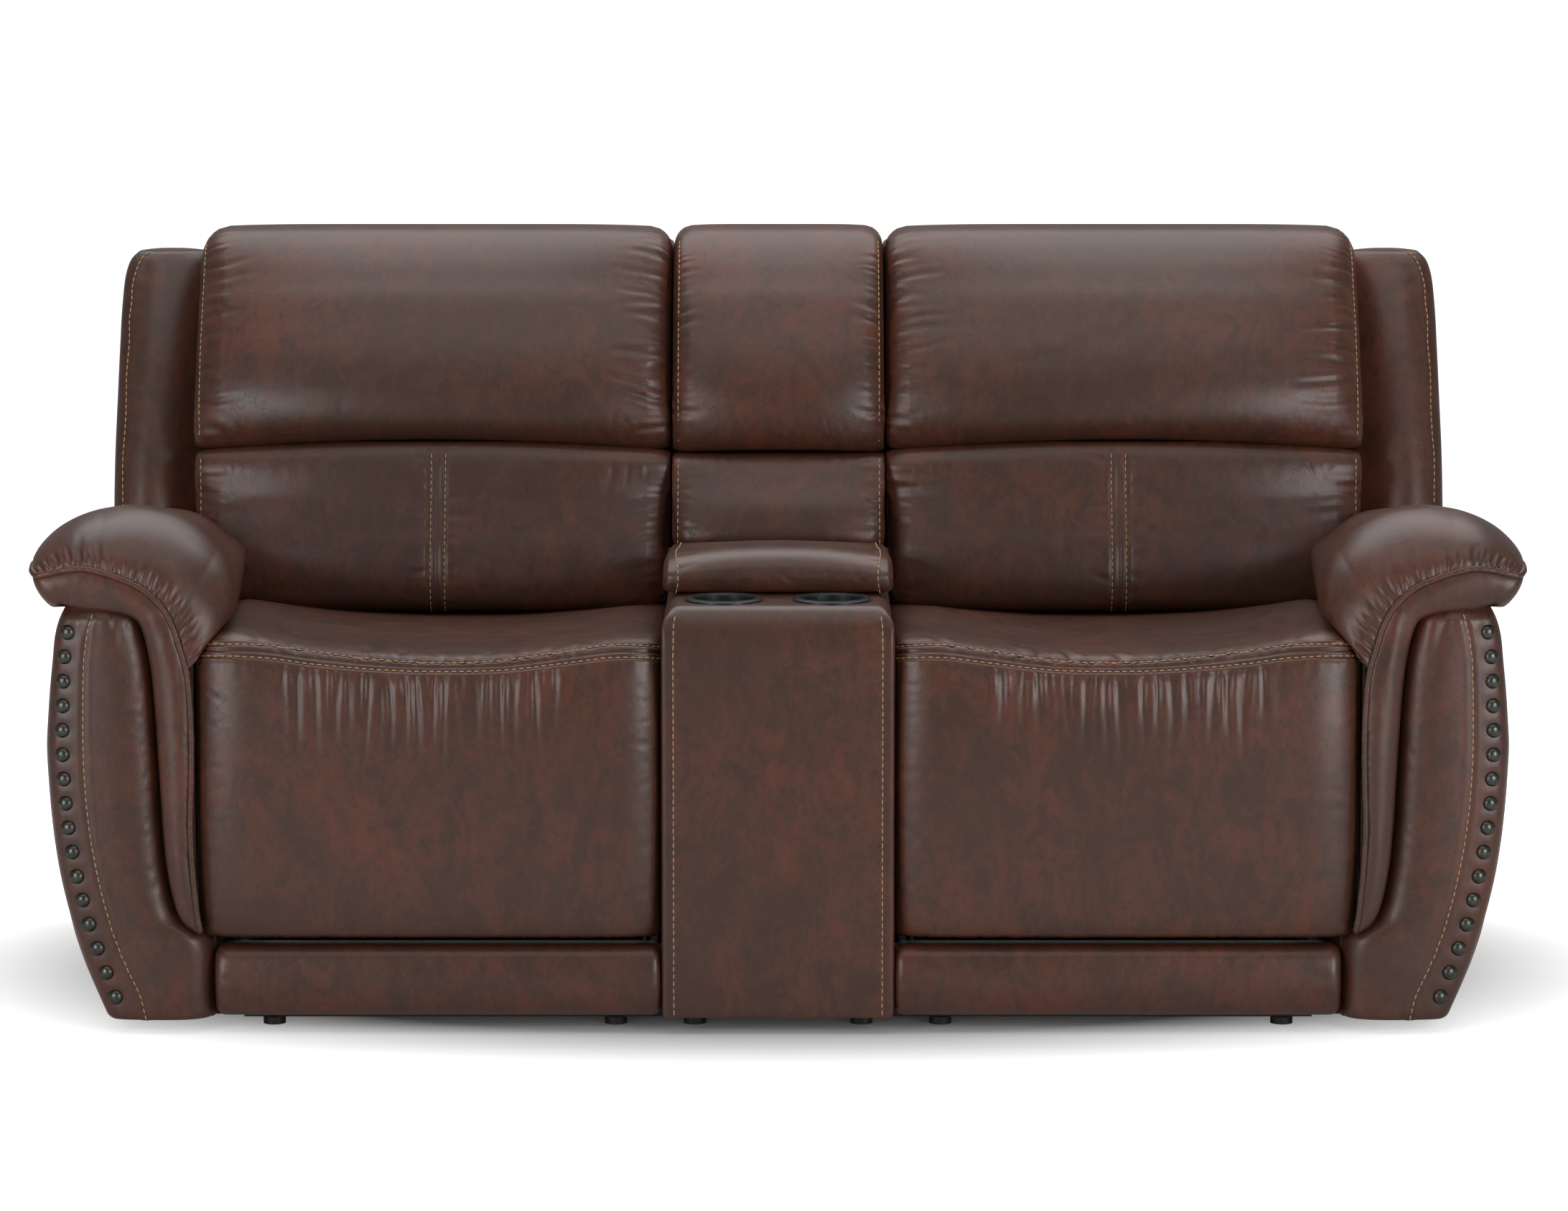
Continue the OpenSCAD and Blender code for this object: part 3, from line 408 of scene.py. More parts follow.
def calculate(tree, operation, *values, clamp=False):
    """What a math node gives for numbers or sockets."""
    return add(tree, "ShaderNodeMath", enumerate(values), operation=operation, use_clamp=clamp).outputs[0]


def times(tree, a, b, clamp=False):
    """One number or socket times another."""
    return calculate(tree, "MULTIPLY", a, b, clamp=clamp)


def scaled(tree, value, by, plus, clamp=False):
    """The value times one number or socket, plus another."""
    return calculate(tree, "MULTIPLY_ADD", value, by, plus, clamp=clamp)


def blend_colour(tree, share, a, b):
    """The first colour, with that share of the second."""
    a, b = (c if isinstance(c, bpy.types.NodeSocket) else (*c, 1.0) for c in (a, b))
    return add(tree, "ShaderNodeMix", {"Factor": share, 6: a, 7: b}, data_type="RGBA").outputs[2]


def noise(tree, vector, scale, detail, rough, twist):
    """Soft noise, from 0 to 1, at the places of a vector socket."""
    values = {"Vector": vector, "Scale": scale, "Detail": detail, "Roughness": rough, "Distortion": twist}
    return add(tree, "ShaderNodeTexNoise", values).outputs["Fac"]


def object_place(tree):
    """The place on the object, which stays put in every pose."""
    return tree.nodes.new("ShaderNodeTexCoord").outputs["Object"]


def hide_mottle_group():
    """Soft rusty clouds and dark flecks that colour a hide, with painted shade in the creases' valleys and a
    lighter rub with a painted highlight on their ridges.
    """
    tree, start, end = new_tree(
        "ShaderNodeTree",
        "hide_mottle",
        [
            ("Base", "Color", (0.1, 0.05, 0.04, 1)),
            ("Warm", "Color", (0.2, 0.05, 0.03, 1)),
            ("Dark", "Color", (0.03, 0.02, 0.015, 1)),
            ("Crease", "Float", 0.0),
            ("Warm Amount", "Float", 0.5),
            ("Dark Amount", "Float", 0.5),
        ],
        [("Color", "Color"), ("Rub", "Float")],
    )
    place = object_place(tree)
    drawn = add(tree, "ShaderNodeMapping", {"Vector": place, "Scale": (1.0, 1.0, 0.6)}).outputs[0]
    wide = noise(tree, place, 4.2, 4, 0.6, 0.5)
    patch = noise(tree, drawn, 24.0, 8, 0.74, 0.9)
    fine = noise(tree, drawn, 110.0, 6, 0.75, 0.6)
    fleck = noise(tree, place, 74.0, 7, 0.7, 2.4)
    warm = scaled(tree, patch, 0.58, times(tree, fine, 0.42))
    warm = scaled(tree, wide, 0.4, times(tree, warm, 0.8))
    warm = times(tree, scaled(tree, warm, 6.6, -3.75, True), start["Warm Amount"])
    colour = blend_colour(tree, warm, start["Base"], start["Warm"])
    dark = scaled(tree, patch, -0.75, times(tree, fine, -0.25))
    dark = scaled(tree, dark, 3.2, 1.62, True)
    spots = scaled(tree, fleck, 9.0, -5.15, True)
    dark = times(tree, scaled(tree, spots, 0.9, dark, True), start["Dark Amount"])
    colour = blend_colour(tree, dark, colour, start["Dark"])
    # Painted shade: the valleys of creases turn toward the dark colour.
    valley = times(tree, start["Crease"], 0.6, True)
    colour = blend_colour(tree, valley, colour, start["Dark"])
    # The ridges beside creases turn toward the rusty colour: partly a rubbed finish, partly a painted
    # highlight.
    ridge_rub_and_highlight = times(tree, start["Crease"], -0.7, True)
    colour = blend_colour(tree, ridge_rub_and_highlight, colour, start["Warm"])
    tree.links.new(colour, end["Color"])
    tree.links.new(scaled(tree, patch, 0.55, times(tree, fine, 0.45)), end["Rub"])
    return tree


def hide_grain_group():
    """Fine pebble grain, soft buckles and thin dark crackle lines of a worked hide."""
    tree, start, end = new_tree(
        "ShaderNodeTree",
        "hide_grain",
        [
            ("Pebble Size", "Float", 720.0),
            ("Crackle Size", "Float", 70.0),
            ("Crackle Amount", "Float", 0.5),
            ("Buckle Amount", "Float", 0.5),
        ],
        [("Height", "Float"), ("Crackle", "Float")],
    )
    place = object_place(tree)
    bent = add(tree, "ShaderNodeTexNoise", {"Vector": place, "Scale": 30.0, "Detail": 5.0}).outputs["Color"]
    push = add(tree, "ShaderNodeVectorMath", {0: bent, "Scale": 0.04}, operation="SCALE").outputs[0]
    moved = add(tree, "ShaderNodeVectorMath", {0: place, 1: push}, operation="ADD").outputs[0]
    cells = add(
        tree,
        "ShaderNodeTexVoronoi",
        {"Vector": moved, "Scale": start["Crackle Size"]},
        feature="DISTANCE_TO_EDGE",
    )
    line = scaled(tree, cells.outputs["Distance"], -22.0, 1.0, True)
    where = scaled(tree, noise(tree, place, 24.0, 5, 0.65, 0.8), 9.0, -4.8, True)
    line = times(tree, times(tree, line, where), start["Crackle Amount"])
    pebble = add(
        tree,
        "ShaderNodeTexVoronoi",
        {"Vector": moved, "Scale": start["Pebble Size"], "Randomness": 1.0},
        feature="F1",
    )
    height = times(tree, pebble.outputs["Distance"], -0.2)
    height = scaled(tree, line, -0.5, height)
    swell = times(tree, noise(tree, place, 34.0, 5, 0.6, 0.7), start["Buckle Amount"])
    tree.links.new(calculate(tree, "ADD", height, swell), end["Height"])
    tree.links.new(line, end["Crackle"])
    return tree


def new_material(name):
    """An empty material, its tree and the inputs of its Principled BSDF."""
    material = bpy.data.materials.new(name)
    material.use_nodes = True
    tree = material.node_tree
    return material, tree, tree.nodes["Principled BSDF"].inputs


def leather(look):
    """Dark brown hide with rusty patches, dark crackle and a soft shine."""
    material, tree, skin = new_material("brown_hide")
    # The crease attribute paints shade into crease valleys and a lighter rub, partly a painted highlight, onto
    # their ridges.
    crease = add(tree, "ShaderNodeAttribute", attribute_name="crease").outputs["Fac"]
    tones = {"Base": (*look.hide, 1), "Warm": (*look.warm_hide, 1), "Dark": (*look.dark_hide, 1)}
    tones.update({"Warm Amount": 0.8, "Dark Amount": 0.7, "Crease": crease})
    mottle = add(tree, "ShaderNodeGroup", tones, node_tree=hide_mottle_group())
    grain = add(tree, "ShaderNodeGroup", node_tree=hide_grain_group())
    cracks = times(tree, grain.outputs["Crackle"], 1.3, True)
    colour = blend_colour(tree, cracks, mottle.outputs["Color"], look.dark_hide)
    tree.links.new(colour, skin["Base Color"])
    tree.links.new(scaled(tree, mottle.outputs["Rub"], 0.24, look.shine - 0.12), skin["Roughness"])
    bump = add(
        tree, "ShaderNodeBump", {"Strength": 0.5, "Distance": 0.0009, "Height": grain.outputs["Height"]}
    )
    tree.links.new(bump.outputs["Normal"], skin["Normal"])
    skin["Specular IOR Level"].default_value = 0.42
    skin["Coat Roughness"].default_value = 0.34
    skin["Coat Weight"].default_value = 0.24
    return material


EVEN = (1, 1, 1)


def grained(name, colour, second, scale, rough, metal=0.0, stretch=EVEN, depth=0.0004, spread=0.06):
    """A material with grain, stretched or even: wood, thread, brushed or cast metal, moulded plastic."""
    material, tree, skin = new_material(name)
    drawn = add(tree, "ShaderNodeMapping", {"Vector": object_place(tree), "Scale": stretch}).outputs[0]
    wide = noise(tree, drawn, scale, 5, 0.6, 0.6)
    fine = noise(tree, drawn, scale * 7.0, 4, 0.65, 0.2)
    mask = scaled(tree, wide, 0.65, times(tree, fine, 0.35))
    mask = scaled(tree, mask, 3.2, -1.1, True)
    tree.links.new(blend_colour(tree, mask, colour, second), skin["Base Color"])
    tree.links.new(scaled(tree, fine, spread * 2, rough - spread), skin["Roughness"])
    bump = add(tree, "ShaderNodeBump", {"Strength": 0.4, "Distance": depth, "Height": fine})
    tree.links.new(bump.outputs["Normal"], skin["Normal"])
    skin["Metallic"].default_value = metal
    return material


DRAWN_OUT = (1, 8, 8)  # grain runs along X
FINISHES = {  # finish: material, its two colours, size of its grain, roughness, metal
    "nail": ("dark_nail", (0.06, 0.063, 0.056), (0.12, 0.12, 0.105), 150.0, 0.3, 1.0, EVEN, 0.0002, 0.04),
    "wood": ("raw_board", (0.45, 0.31, 0.18), (0.30, 0.18, 0.09), 14.0, 0.62, 0.0, DRAWN_OUT),
    # The base frame's boards are near black.
    "near_black_wood": ("near_black_board", (0.036, 0.022, 0.016), (0.018, 0.012, 0.01), 14.0, 0.55, 0.0, DRAWN_OUT),
    "steel": ("black_steel", (0.035, 0.035, 0.038), (0.075, 0.075, 0.08), 60.0, 0.42, 0.75),
    "wire": ("zinc_wire", (0.42, 0.42, 0.43), (0.25, 0.25, 0.26), 180.0, 0.34, 1.0),
    "cup": ("smoked_cup", (0.032, 0.034, 0.038), (0.06, 0.064, 0.07), 220.0, 0.26, 0.55),
    "release": ("dark_pull", (0.025, 0.023, 0.022), (0.05, 0.046, 0.043), 240.0, 0.36, 0.2),
    "glide": ("moulded_foot", (0.012, 0.012, 0.013), (0.028, 0.028, 0.03), 160.0, 0.5),
}
MATERIALS = {}


def finish_of(name):
    """The material of that name, made the first time it is asked for."""
    if name not in MATERIALS:
        look = bpy.context.scene.loveseat_look
        if name == "leather":
            MATERIALS[name] = leather(look)
        elif name == "thread":
            MATERIALS[name] = grained("tan_thread", tuple(look.thread), (0.32, 0.19, 0.09), 900.0, 0.62)
        else:
            MATERIALS[name] = grained(*FINISHES[name])
    return MATERIALS[name]


# ---------------------------------------------------------------- geometry nodes


def lie_along(tree, first, second):
    """A rotation whose X follows the first direction and whose Z leans to the second."""
    kind = "FunctionNodeAlignRotationToVector"
    one = add(tree, kind, {"Vector": first}, axis="X", pivot_axis="AUTO").outputs[0]
    return add(tree, kind, {"Rotation": one, "Vector": second}, axis="Z", pivot_axis="X").outputs[0]


def out_direction(tree):
    """The cover's outward direction, which each point carries."""
    node = add(tree, "GeometryNodeInputNamedAttribute", {"Name": "out"}, data_type="FLOAT_VECTOR")
    return node.outputs["Attribute"]


def real_and_painted(tree, instances, material, end, smooth=False):
    """Ends a tree: instances become real and get their material."""
    real = add(tree, "GeometryNodeRealizeInstances", {0: instances}).outputs[0]
    if smooth:
        real = add(tree, "GeometryNodeSetShadeSmooth", {0: real}).outputs[0]
    paint = add(tree, "GeometryNodeSetMaterial", {"Geometry": real, "Material": material})
    tree.links.new(paint.outputs[0], end[0])


def stitch_tree():
    """Thread stitches at a fixed pitch along edge lines that lie on a cover."""
    tree, start, end = new_tree(
        "GeometryNodeTree",
        "stitch_rows",
        [
            ("Geometry", "Geometry", None),
            ("Pitch", "Float", 0.01),
            ("Stitch Length", "Float", 0.0075),
            ("Thread Width", "Float", 0.0018),
            ("Thread", "Material", None),
        ],
        [("Geometry", "Geometry")],
    )
    curve = add(tree, "GeometryNodeMeshToCurve", {"Mesh": start["Geometry"]}).outputs[0]
    even = add(tree, "GeometryNodeResampleCurve", {"Curve": curve, "Length": start["Pitch"]}, mode="LENGTH")
    ball = add(tree, "GeometryNodeMeshUVSphere", {"Segments": 6, "Rings": 5, "Radius": 0.5})
    width = start["Thread Width"]
    size = add(tree, "ShaderNodeCombineXYZ", {0: start["Stitch Length"], 1: width, 2: width})
    tangent = add(tree, "GeometryNodeInputTangent").outputs[0]
    put = {
        "Points": even.outputs[0],
        "Instance": ball.outputs["Mesh"],
        "Rotation": lie_along(tree, tangent, out_direction(tree)),
        "Scale": size.outputs[0],
    }
    stitches = add(tree, "GeometryNodeInstanceOnPoints", put).outputs[0]
    real_and_painted(tree, stitches, start["Thread"], end)
    return tree


def nail_tree():
    """Domed nailheads with a thin rim on points that know which way is out."""
    tree, start, end = new_tree(
        "GeometryNodeTree",
        "nail_heads",
        [
            ("Geometry", "Geometry", None),
            ("Diameter", "Float", 0.019),
            ("Height", "Float", 0.0075),
            ("Metal", "Material", None),
        ],
        [("Geometry", "Geometry")],
    )

    def flattened(rings, across, height):
        """A ball pressed flat: its half width as a share of the diameter, and its height."""
        ball = add(tree, "GeometryNodeMeshUVSphere", {"Segments": 20, "Rings": rings, "Radius": 1.0})
        half = times(tree, start["Diameter"], across)
        size = add(tree, "ShaderNodeCombineXYZ", {0: half, 1: half, 2: height}).outputs[0]
        values = {"Geometry": ball.outputs["Mesh"], "Scale": size}
        return add(tree, "GeometryNodeTransform", values).outputs[0]

    dome = flattened(12, 0.53, start["Height"])
    rim = flattened(6, 0.55, times(tree, start["Height"], 0.12))
    both = add(tree, "GeometryNodeJoinGeometry")
    tree.links.new(dome, both.inputs[0])
    tree.links.new(rim, both.inputs[0])
    turn = add(
        tree,
        "FunctionNodeAlignRotationToVector",
        {"Vector": out_direction(tree)},
        axis="Z",
        pivot_axis="AUTO",
    )
    put = {"Points": start["Geometry"], "Instance": both.outputs[0], "Rotation": turn.outputs[0]}
    nails = add(tree, "GeometryNodeInstanceOnPoints", put).outputs[0]
    real_and_painted(tree, nails, start["Metal"], end, smooth=True)
    return tree


def grow(name, tree, rows, values, joined=True):
    """Runs a node tree over laid lines or points and gives back one plain mesh object."""
    points, out, edges = [], [], []
    for at, normal in rows:
        first = len(points)
        points += (at * MM).tolist()
        out += normal.tolist()
        if joined:
            edges += [(first + k, first + k + 1) for k in range(len(at) - 1)]
    mesh = bpy.data.meshes.new(name + "_rows")
    mesh.from_pydata(points, edges, [])
    way = mesh.attributes.new("out", "FLOAT_VECTOR", "POINT")
    way.data.foreach_set("vector", np.array(out, np.float32).ravel())
    host = bpy.data.objects.new(name + "_rows", mesh)
    bpy.context.scene.collection.objects.link(host)
    modifier = host.modifiers.new("grow", "NODES")
    modifier.node_group = tree
    for item in tree.interface.items_tree:
        if item.item_type == "SOCKET" and item.in_out == "INPUT" and item.name in values:
            modifier[item.identifier] = values[item.name]
    seen = host.evaluated_get(bpy.context.evaluated_depsgraph_get())
    made = bpy.data.meshes.new_from_object(seen)
    made.name = name
    host.modifiers.remove(modifier)
    bpy.data.objects.remove(host)
    bpy.data.meshes.remove(mesh)
    if not len(made.polygons):
        raise RuntimeError(name + ": the node tree made nothing")
    made.shade_smooth()
    piece = bpy.data.objects.new(name, made)
    bpy.context.scene.collection.objects.link(piece)
    return piece


# ---------------------------------------------------------------- soft pieces


def soften(node, grain, rounds, seed):
    """A cover that follows a CAD solid, with its corners eased."""
    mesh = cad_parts[node].data.copy()
    shell = bmesh.new()
    shell.from_mesh(mesh)
    bmesh.ops.remove_doubles(shell, verts=shell.verts, dist=1e-5)
    shell.to_mesh(mesh)
    shell.free()
    piece = bpy.data.objects.new(node + "_soft", mesh)
    bpy.context.scene.collection.objects.link(piece)
    remesh = piece.modifiers.new("remesh", "REMESH")
    remesh.mode, remesh.voxel_size = "VOXEL", grain * MM
    ease = piece.modifiers.new("ease", "SMOOTH")
    ease.factor, ease.iterations = 0.5, rounds
    seen = piece.evaluated_get(bpy.context.evaluated_depsgraph_get())
    made = seen.to_mesh()
    points = np.zeros(len(made.vertices) * 3)
    made.vertices.foreach_get("co", points)
    faces = [tuple(p.vertices) for p in made.polygons]
    seen.to_mesh_clear()
    bpy.data.objects.remove(piece)
    bpy.data.meshes.remove(mesh)
    return Cover(points.reshape(-1, 3) / MM, faces, seed)


def rail_cover(hand, seed):
    """Padded rail under the footrest."""
    outline = [
        (-446, 28), (-446, 70), (-446, 110), (-462, 116), (-490, 117), (-506, 112), (-515, 98),
        (-519, 72), (-516, 44), (-508, 28), (-490, 22), (-462, 22),
    ]
    rings = []
    for x, inset in stations(-749, -155, 13, 13, 7):
        ring = pull_in(run_through(outline, 54, True), inset)
        rings.append(at_x(x, ring))
    cover = Cover(*skin_of(rings, (2, 2)), seed)
    top = [(-745 + 590 * t, -512, 108) for t in np.linspace(0, 1, 30)]
    cover.gather(
        [
            (top, (0, -0.1, -1), 26, (14, 40), 0.3, 2),
            ([(-744, -517, 96), (-744, -517, 34)], (1, 0, 0), 6, (15, 50), 0.3),
            ([(-160, -517, 34), (-160, -517, 96)], (-1, 0, 0), 6, (15, 50), 0.3),
        ],
        (3, 5), (0.4, 1.2),
    )
    cover.work()
    return cover.object(hand + "_rail_cover", hand, "base", [hand + "_front_rail"], 0.6)


def pillow_seam(base, x, lo, hi, deep, crown):
    """The end seam of a pillow at x, along the front of its (y, z) outline between two heights."""
    part = base[(base[:, 1] > lo) & (base[:, 1] < hi) & (base[:, 0] < deep)]
    part = part[np.argsort(part[:, 1])]
    seam = run_through(part[:: max(1, len(part) // 16)], 70)
    return at_x(x, seam + (crown, 0))


def head_pillow(hand, body, seed, owner=None, x0=HEAD_OUT, x1=PILLOW_IN):
    """Head pillow with an overhanging lower roll and an arched crease."""
    owner = owner or hand
    wide = x1 - x0 > WIDE
    crown, arch, sink = (34, 19, 0) if wide else (20, 5, 15)
    edge_out, edge_in = (38, 32) if wide else (24, 24)
    short_fold, long_fold = (54, 105) if wide else (36, 50)
    outline = np.array([
        (122, 733), (105, 739), (95, 753), (91, 775), (94, 802), (103, 832), (117, 865),
        (136, 898), (157, 930), (182, 957), (209, 984), (238, 1007), (270, 1024), (308, 1030),
        (345, 1024), (374, 1006), (380, 985), (371, 940), (356, 880), (340, 820), (326, 765),
        (300, 745), (240, 738), (180, 734),
    ], float)
    middle, half = (x0 + x1) / 2, (x1 - x0) / 2
    base = crowded(outline, 230, lambda p: np.where((p[:, 0] < 290) & (p[:, 1] < 1024), 1.0, 0.3))

    def spacing(x):
        return np.where(half - abs(x - middle) < 95, 3.4, 8.0)

    rings = []
    for x, inset in stations(x0, x1, edge_out, edge_in, 5, spacing):
        u = (x - middle) / half
        ring = base.copy()
        # The lower roll hangs down toward its ends, the front is fullest in the middle, the top corners
        # droop, and the ends stay squarer at the foot.
        low = 1 - step(731, 800, ring[:, 1])
        ring[:, 1] -= (arch * u * u + sink) * low
        front = 1 - step(150, 260, ring[:, 0])
        ring[:, 0] += crown * abs(u) ** 2.9 * front
        ring[:, 1] -= 5 * abs(u) ** 6 * step(960, 1025, ring[:, 1])
        ring = pull_in(ring, inset * (0.25 + 0.75 * step(738, 850, ring[:, 1])))
        rings.append(at_x(x, ring))
    cover = Cover(*skin_of(rings, (5, 0.5) if wide else (0.5, 0.5)), seed)
    left = pillow_seam(base, x0 + 5, 742 - sink, 1012, 300, crown + 17)
    right = pillow_seam(base, x1 - 4, 742 - sink, 1012, 300, crown + 14)
    cover.groove([left, right], 3.0, 2.2, 0.5)
    for seam, way in ((left, 1), (right, -1)):
        short = (seam, (way, -0.1, 0.16), 34, (20, short_fold), 0.14, 6, (0.0, 0.95))
        cover.gather([short], (2.6, 4.2), (0.4, 1.3), 0.6)
        long = (seam, (way, -0.1, 0.1), 11, (40, long_fold), 0.2, 5, (0.02, 0.85))
        cover.gather([long], (4.0, 7.0), (0.8, 2.2), 0.6)
    bottom = [(x, 98, 742) for x in np.linspace(x0 + 30, x1 - 30, 40)]
    cover.gather([(bottom, (0, -0.05, 1), 40 if wide else 14, (12, 42), 0.35, 2)], (2.6, 4.0), (0.2, 0.7))
    if wide:
        chance = cover.chance
        lines = []
        for _ in range(7):
            at = np.array([chance.uniform(x0 + 70, x1 - 70), 100, chance.uniform(770, 900)])
            go = np.array([chance.normal(0, 1), 0, chance.normal(0, 0.5)])
            go *= chance.uniform(30, 80) / np.linalg.norm(go)
            lines.append([at - go / 2, at, at + go / 2])
        cover.pinch(lines, (9, 15), (0.2, 0.5), 0.4, None, "both ends")
    cover.work()
    piece = cover.object(owner + "_head_cover", hand, body, [owner + "_head_pillow"], 0.75)
    sew(cover, beside_seams(left, right, wide), hand, body, AHEAD)
    return piece


def beside_seams(left, right, wide):
    """Stitch rows beside a pillow's end seams: on a wide one only the outer seam is sewn through."""
    rows = [left + (3.5, -4, 0)]
    return rows if wide else rows + [right + (-3.5, -4, 0)]


def lumbar_pillow(hand, body, seed, owner=None, x0=LUMBAR_OUT, x1=PILLOW_IN):
    """Lower back pillow, with a double seam down the middle of a wide one."""
    owner = owner or hand
    wide = x1 - x0 > WIDE
    crown, edge, low = (36, 36, 490) if wide else (16, 22, 573)
    short_fold, long_fold, deepest = (54, 90, 1.2) if wide else (36, 44, 0.7)
    if wide:
        outline = [
            (150, 490), (100, 490), (66, 494), (48, 508), (42, 530), (43, 556), (49, 584), (60, 613),
            (71, 643), (81, 669), (91, 691), (99, 704), (109, 713), (130, 717), (200, 716), (260, 712),
            (297, 705), (298, 680), (287, 634), (275, 586), (262, 538), (252, 505), (226, 493),
        ]
    else:
        outline = [
            (150, 575), (100, 575), (60, 578), (42, 590), (39, 604), (44, 622), (55, 648), (72, 672),
            (84, 690), (94, 703), (106, 711), (132, 714), (200, 713), (257, 711), (297, 704), (299, 685),
            (291, 650), (280, 606), (272, 585), (240, 577),
        ]
    middle, half = (x0 + x1) / 2, (x1 - x0) / 2
    base = crowded(outline, 200, lambda p: np.where(p[:, 0] < 170, 1.0, 0.3))

    def spacing(x):
        return np.where((half - abs(x - middle) < 90) | (abs(x - CHANNEL_X) < 22), 3.2, 8.0)

    rings = []
    for x, inset in stations(x0, x1, edge, edge - 4, 5, spacing):
        u = (x - middle) / half
        ring = base.copy()
        # The top arches up under the head pillow, the front is fullest in the middle, and the ends stay
        # square where they meet the head pillow.
        high = step(650, 705, ring[:, 1])
        if wide:
            ring[:, 1] += (17 - 17 * u * u) * high * (1 - step(200, 290, ring[:, 0]) * 0.5)
            ring[:, 1] = np.minimum(ring[:, 1], 731)
        front = 1 - step(120, 230, ring[:, 0])
        ring[:, 0] += crown * abs(u) ** 3.0 * front * (1 - 0.6 * high)
        ring = pull_in(ring, inset * (1 - 0.82 * step(590, 680, ring[:, 1])))
        rings.append(at_x(x, ring))
    cover = Cover(*skin_of(rings, (4, 0.5) if wide else (0.5, 0.5)), seed)
    left = pillow_seam(base, x0 + 5, low + 20, 708, 140, crown + 12)
    right = pillow_seam(base, x1 - 4, low + 20, 708, 140, crown + 10)
    cover.groove([left, right], 3.0, 2.0, 0.5)
    for seam, way in ((left, 1), (right, -1)):
        short = (seam, (way, -0.1, -0.12), 17, (18, short_fold), 0.16, 9)
        cover.gather([short], (2.8, 4.6), (0.3, 0.9), 0.6)
        long = (seam, (way, -0.1, -0.12), 6, (40, long_fold), 0.2, 10)
        cover.gather([long], (5.0, 8.0), (0.4, deepest))
    crease = [(x, 112, 700) for x in np.linspace(x0 + 30, x1 - 30, 40)]
    cover.gather([(crease, (0, -0.4, -1), 30 if wide else 12, (12, 46), 0.3, 2)], (3, 5), (0.3, 1.1))
    rows = []
    if wide:
        channel = pillow_seam(base, CHANNEL_X, 494, 716, 140, 0)
        rows = [channel + (-10, 0, 0), channel + (10, 0, 0)]
        cover.groove([channel], 2.2, 2.2, 0.0, AHEAD)
        cover.groove(rows, 2.6, 1.2, 1.0, AHEAD)
        sides = [(channel, (way, 0, 0.1), 9, (14, 50), 0.3, 14) for way in (-1, 1)]
        cover.gather(sides, (4, 7), (0.3, 1.0))
    cover.work()
    piece = cover.object(owner + "_lumbar_cover", hand, body, [owner + "_lumbar_pillow"], 0.7)
    sew(cover, rows + beside_seams(left, right, wide), hand, body, AHEAD)
    return piece


# Heights of the seat's nose and of the lower row of stitches under it, along X.
CREST = follow([(-790, 541), (-748, 542), (-736, 541), (-690, 530), (-614, 516), (-535, 509), (-463, 506),
                (-362, 508), (-275, 518), (-216, 527), (-175, 530), (-140, 530)])
SEAM_LOW = follow([(-790, 510), (-762, 510), (-681, 506), (-614, 497), (-534, 490), (-455, 487), (-362, 489),
                   (-275, 499), (-216, 506), (-153, 506), (-140, 506)])


def seat_drop(x, reach=78.0, depth=33.0):
    """How far the front of the seat and footrest falls back near its sides."""
    edge = min(x - SEAT_OUT, SEAT_IN - x)
    share = min(max(edge / reach, 0.0), 1.0)
    return depth * (1 - math.sqrt(1 - (1 - share) ** 2.3)) if share > 0 else depth


def corner_fall(drop, z):
    """How far the seat's front corners sink where the front falls back."""
    return drop * 0.3 * step(465, 535, z)


def seat_ring(x):
    """The seat's section at x: top, nose, the flap that hangs over the footrest, and the underside."""
    crest = float(CREST(x))
    rise = crest - 506
    rear = 486 + rise * 0.62
    points = [
        (126, 440), (128, 462), (118, rear - 3), (95, rear + 1), (40, rear + 4), (-60, 499 + rise * 0.8),
        (-200, 503 + rise), (-330, 505 + rise), (-420, crest + 2), (-468, crest), (-492, crest - 5),
        (-507, crest - 14), (-515, crest - 26), (-520, crest - 44), (-524, 440), (-526, 400), (-526.5, 340),
        (-525, 280), (-522.5, 220), (-519, 175), (-514, 145), (-507, 131), (-501, 129), (-499, 140),
        (-500, 180), (-501, 260), (-501, 340), (-501, 410), (-500, 450), (-497, 472), (-485, 481),
        (-462, 481), (-440, 474), (-432, 452), (-428, 430), (-410, 418), (-340, 416), (-200, 416),
        (0, 416), (100, 418), (120, 426),
    ]
    return np.array(points, float)


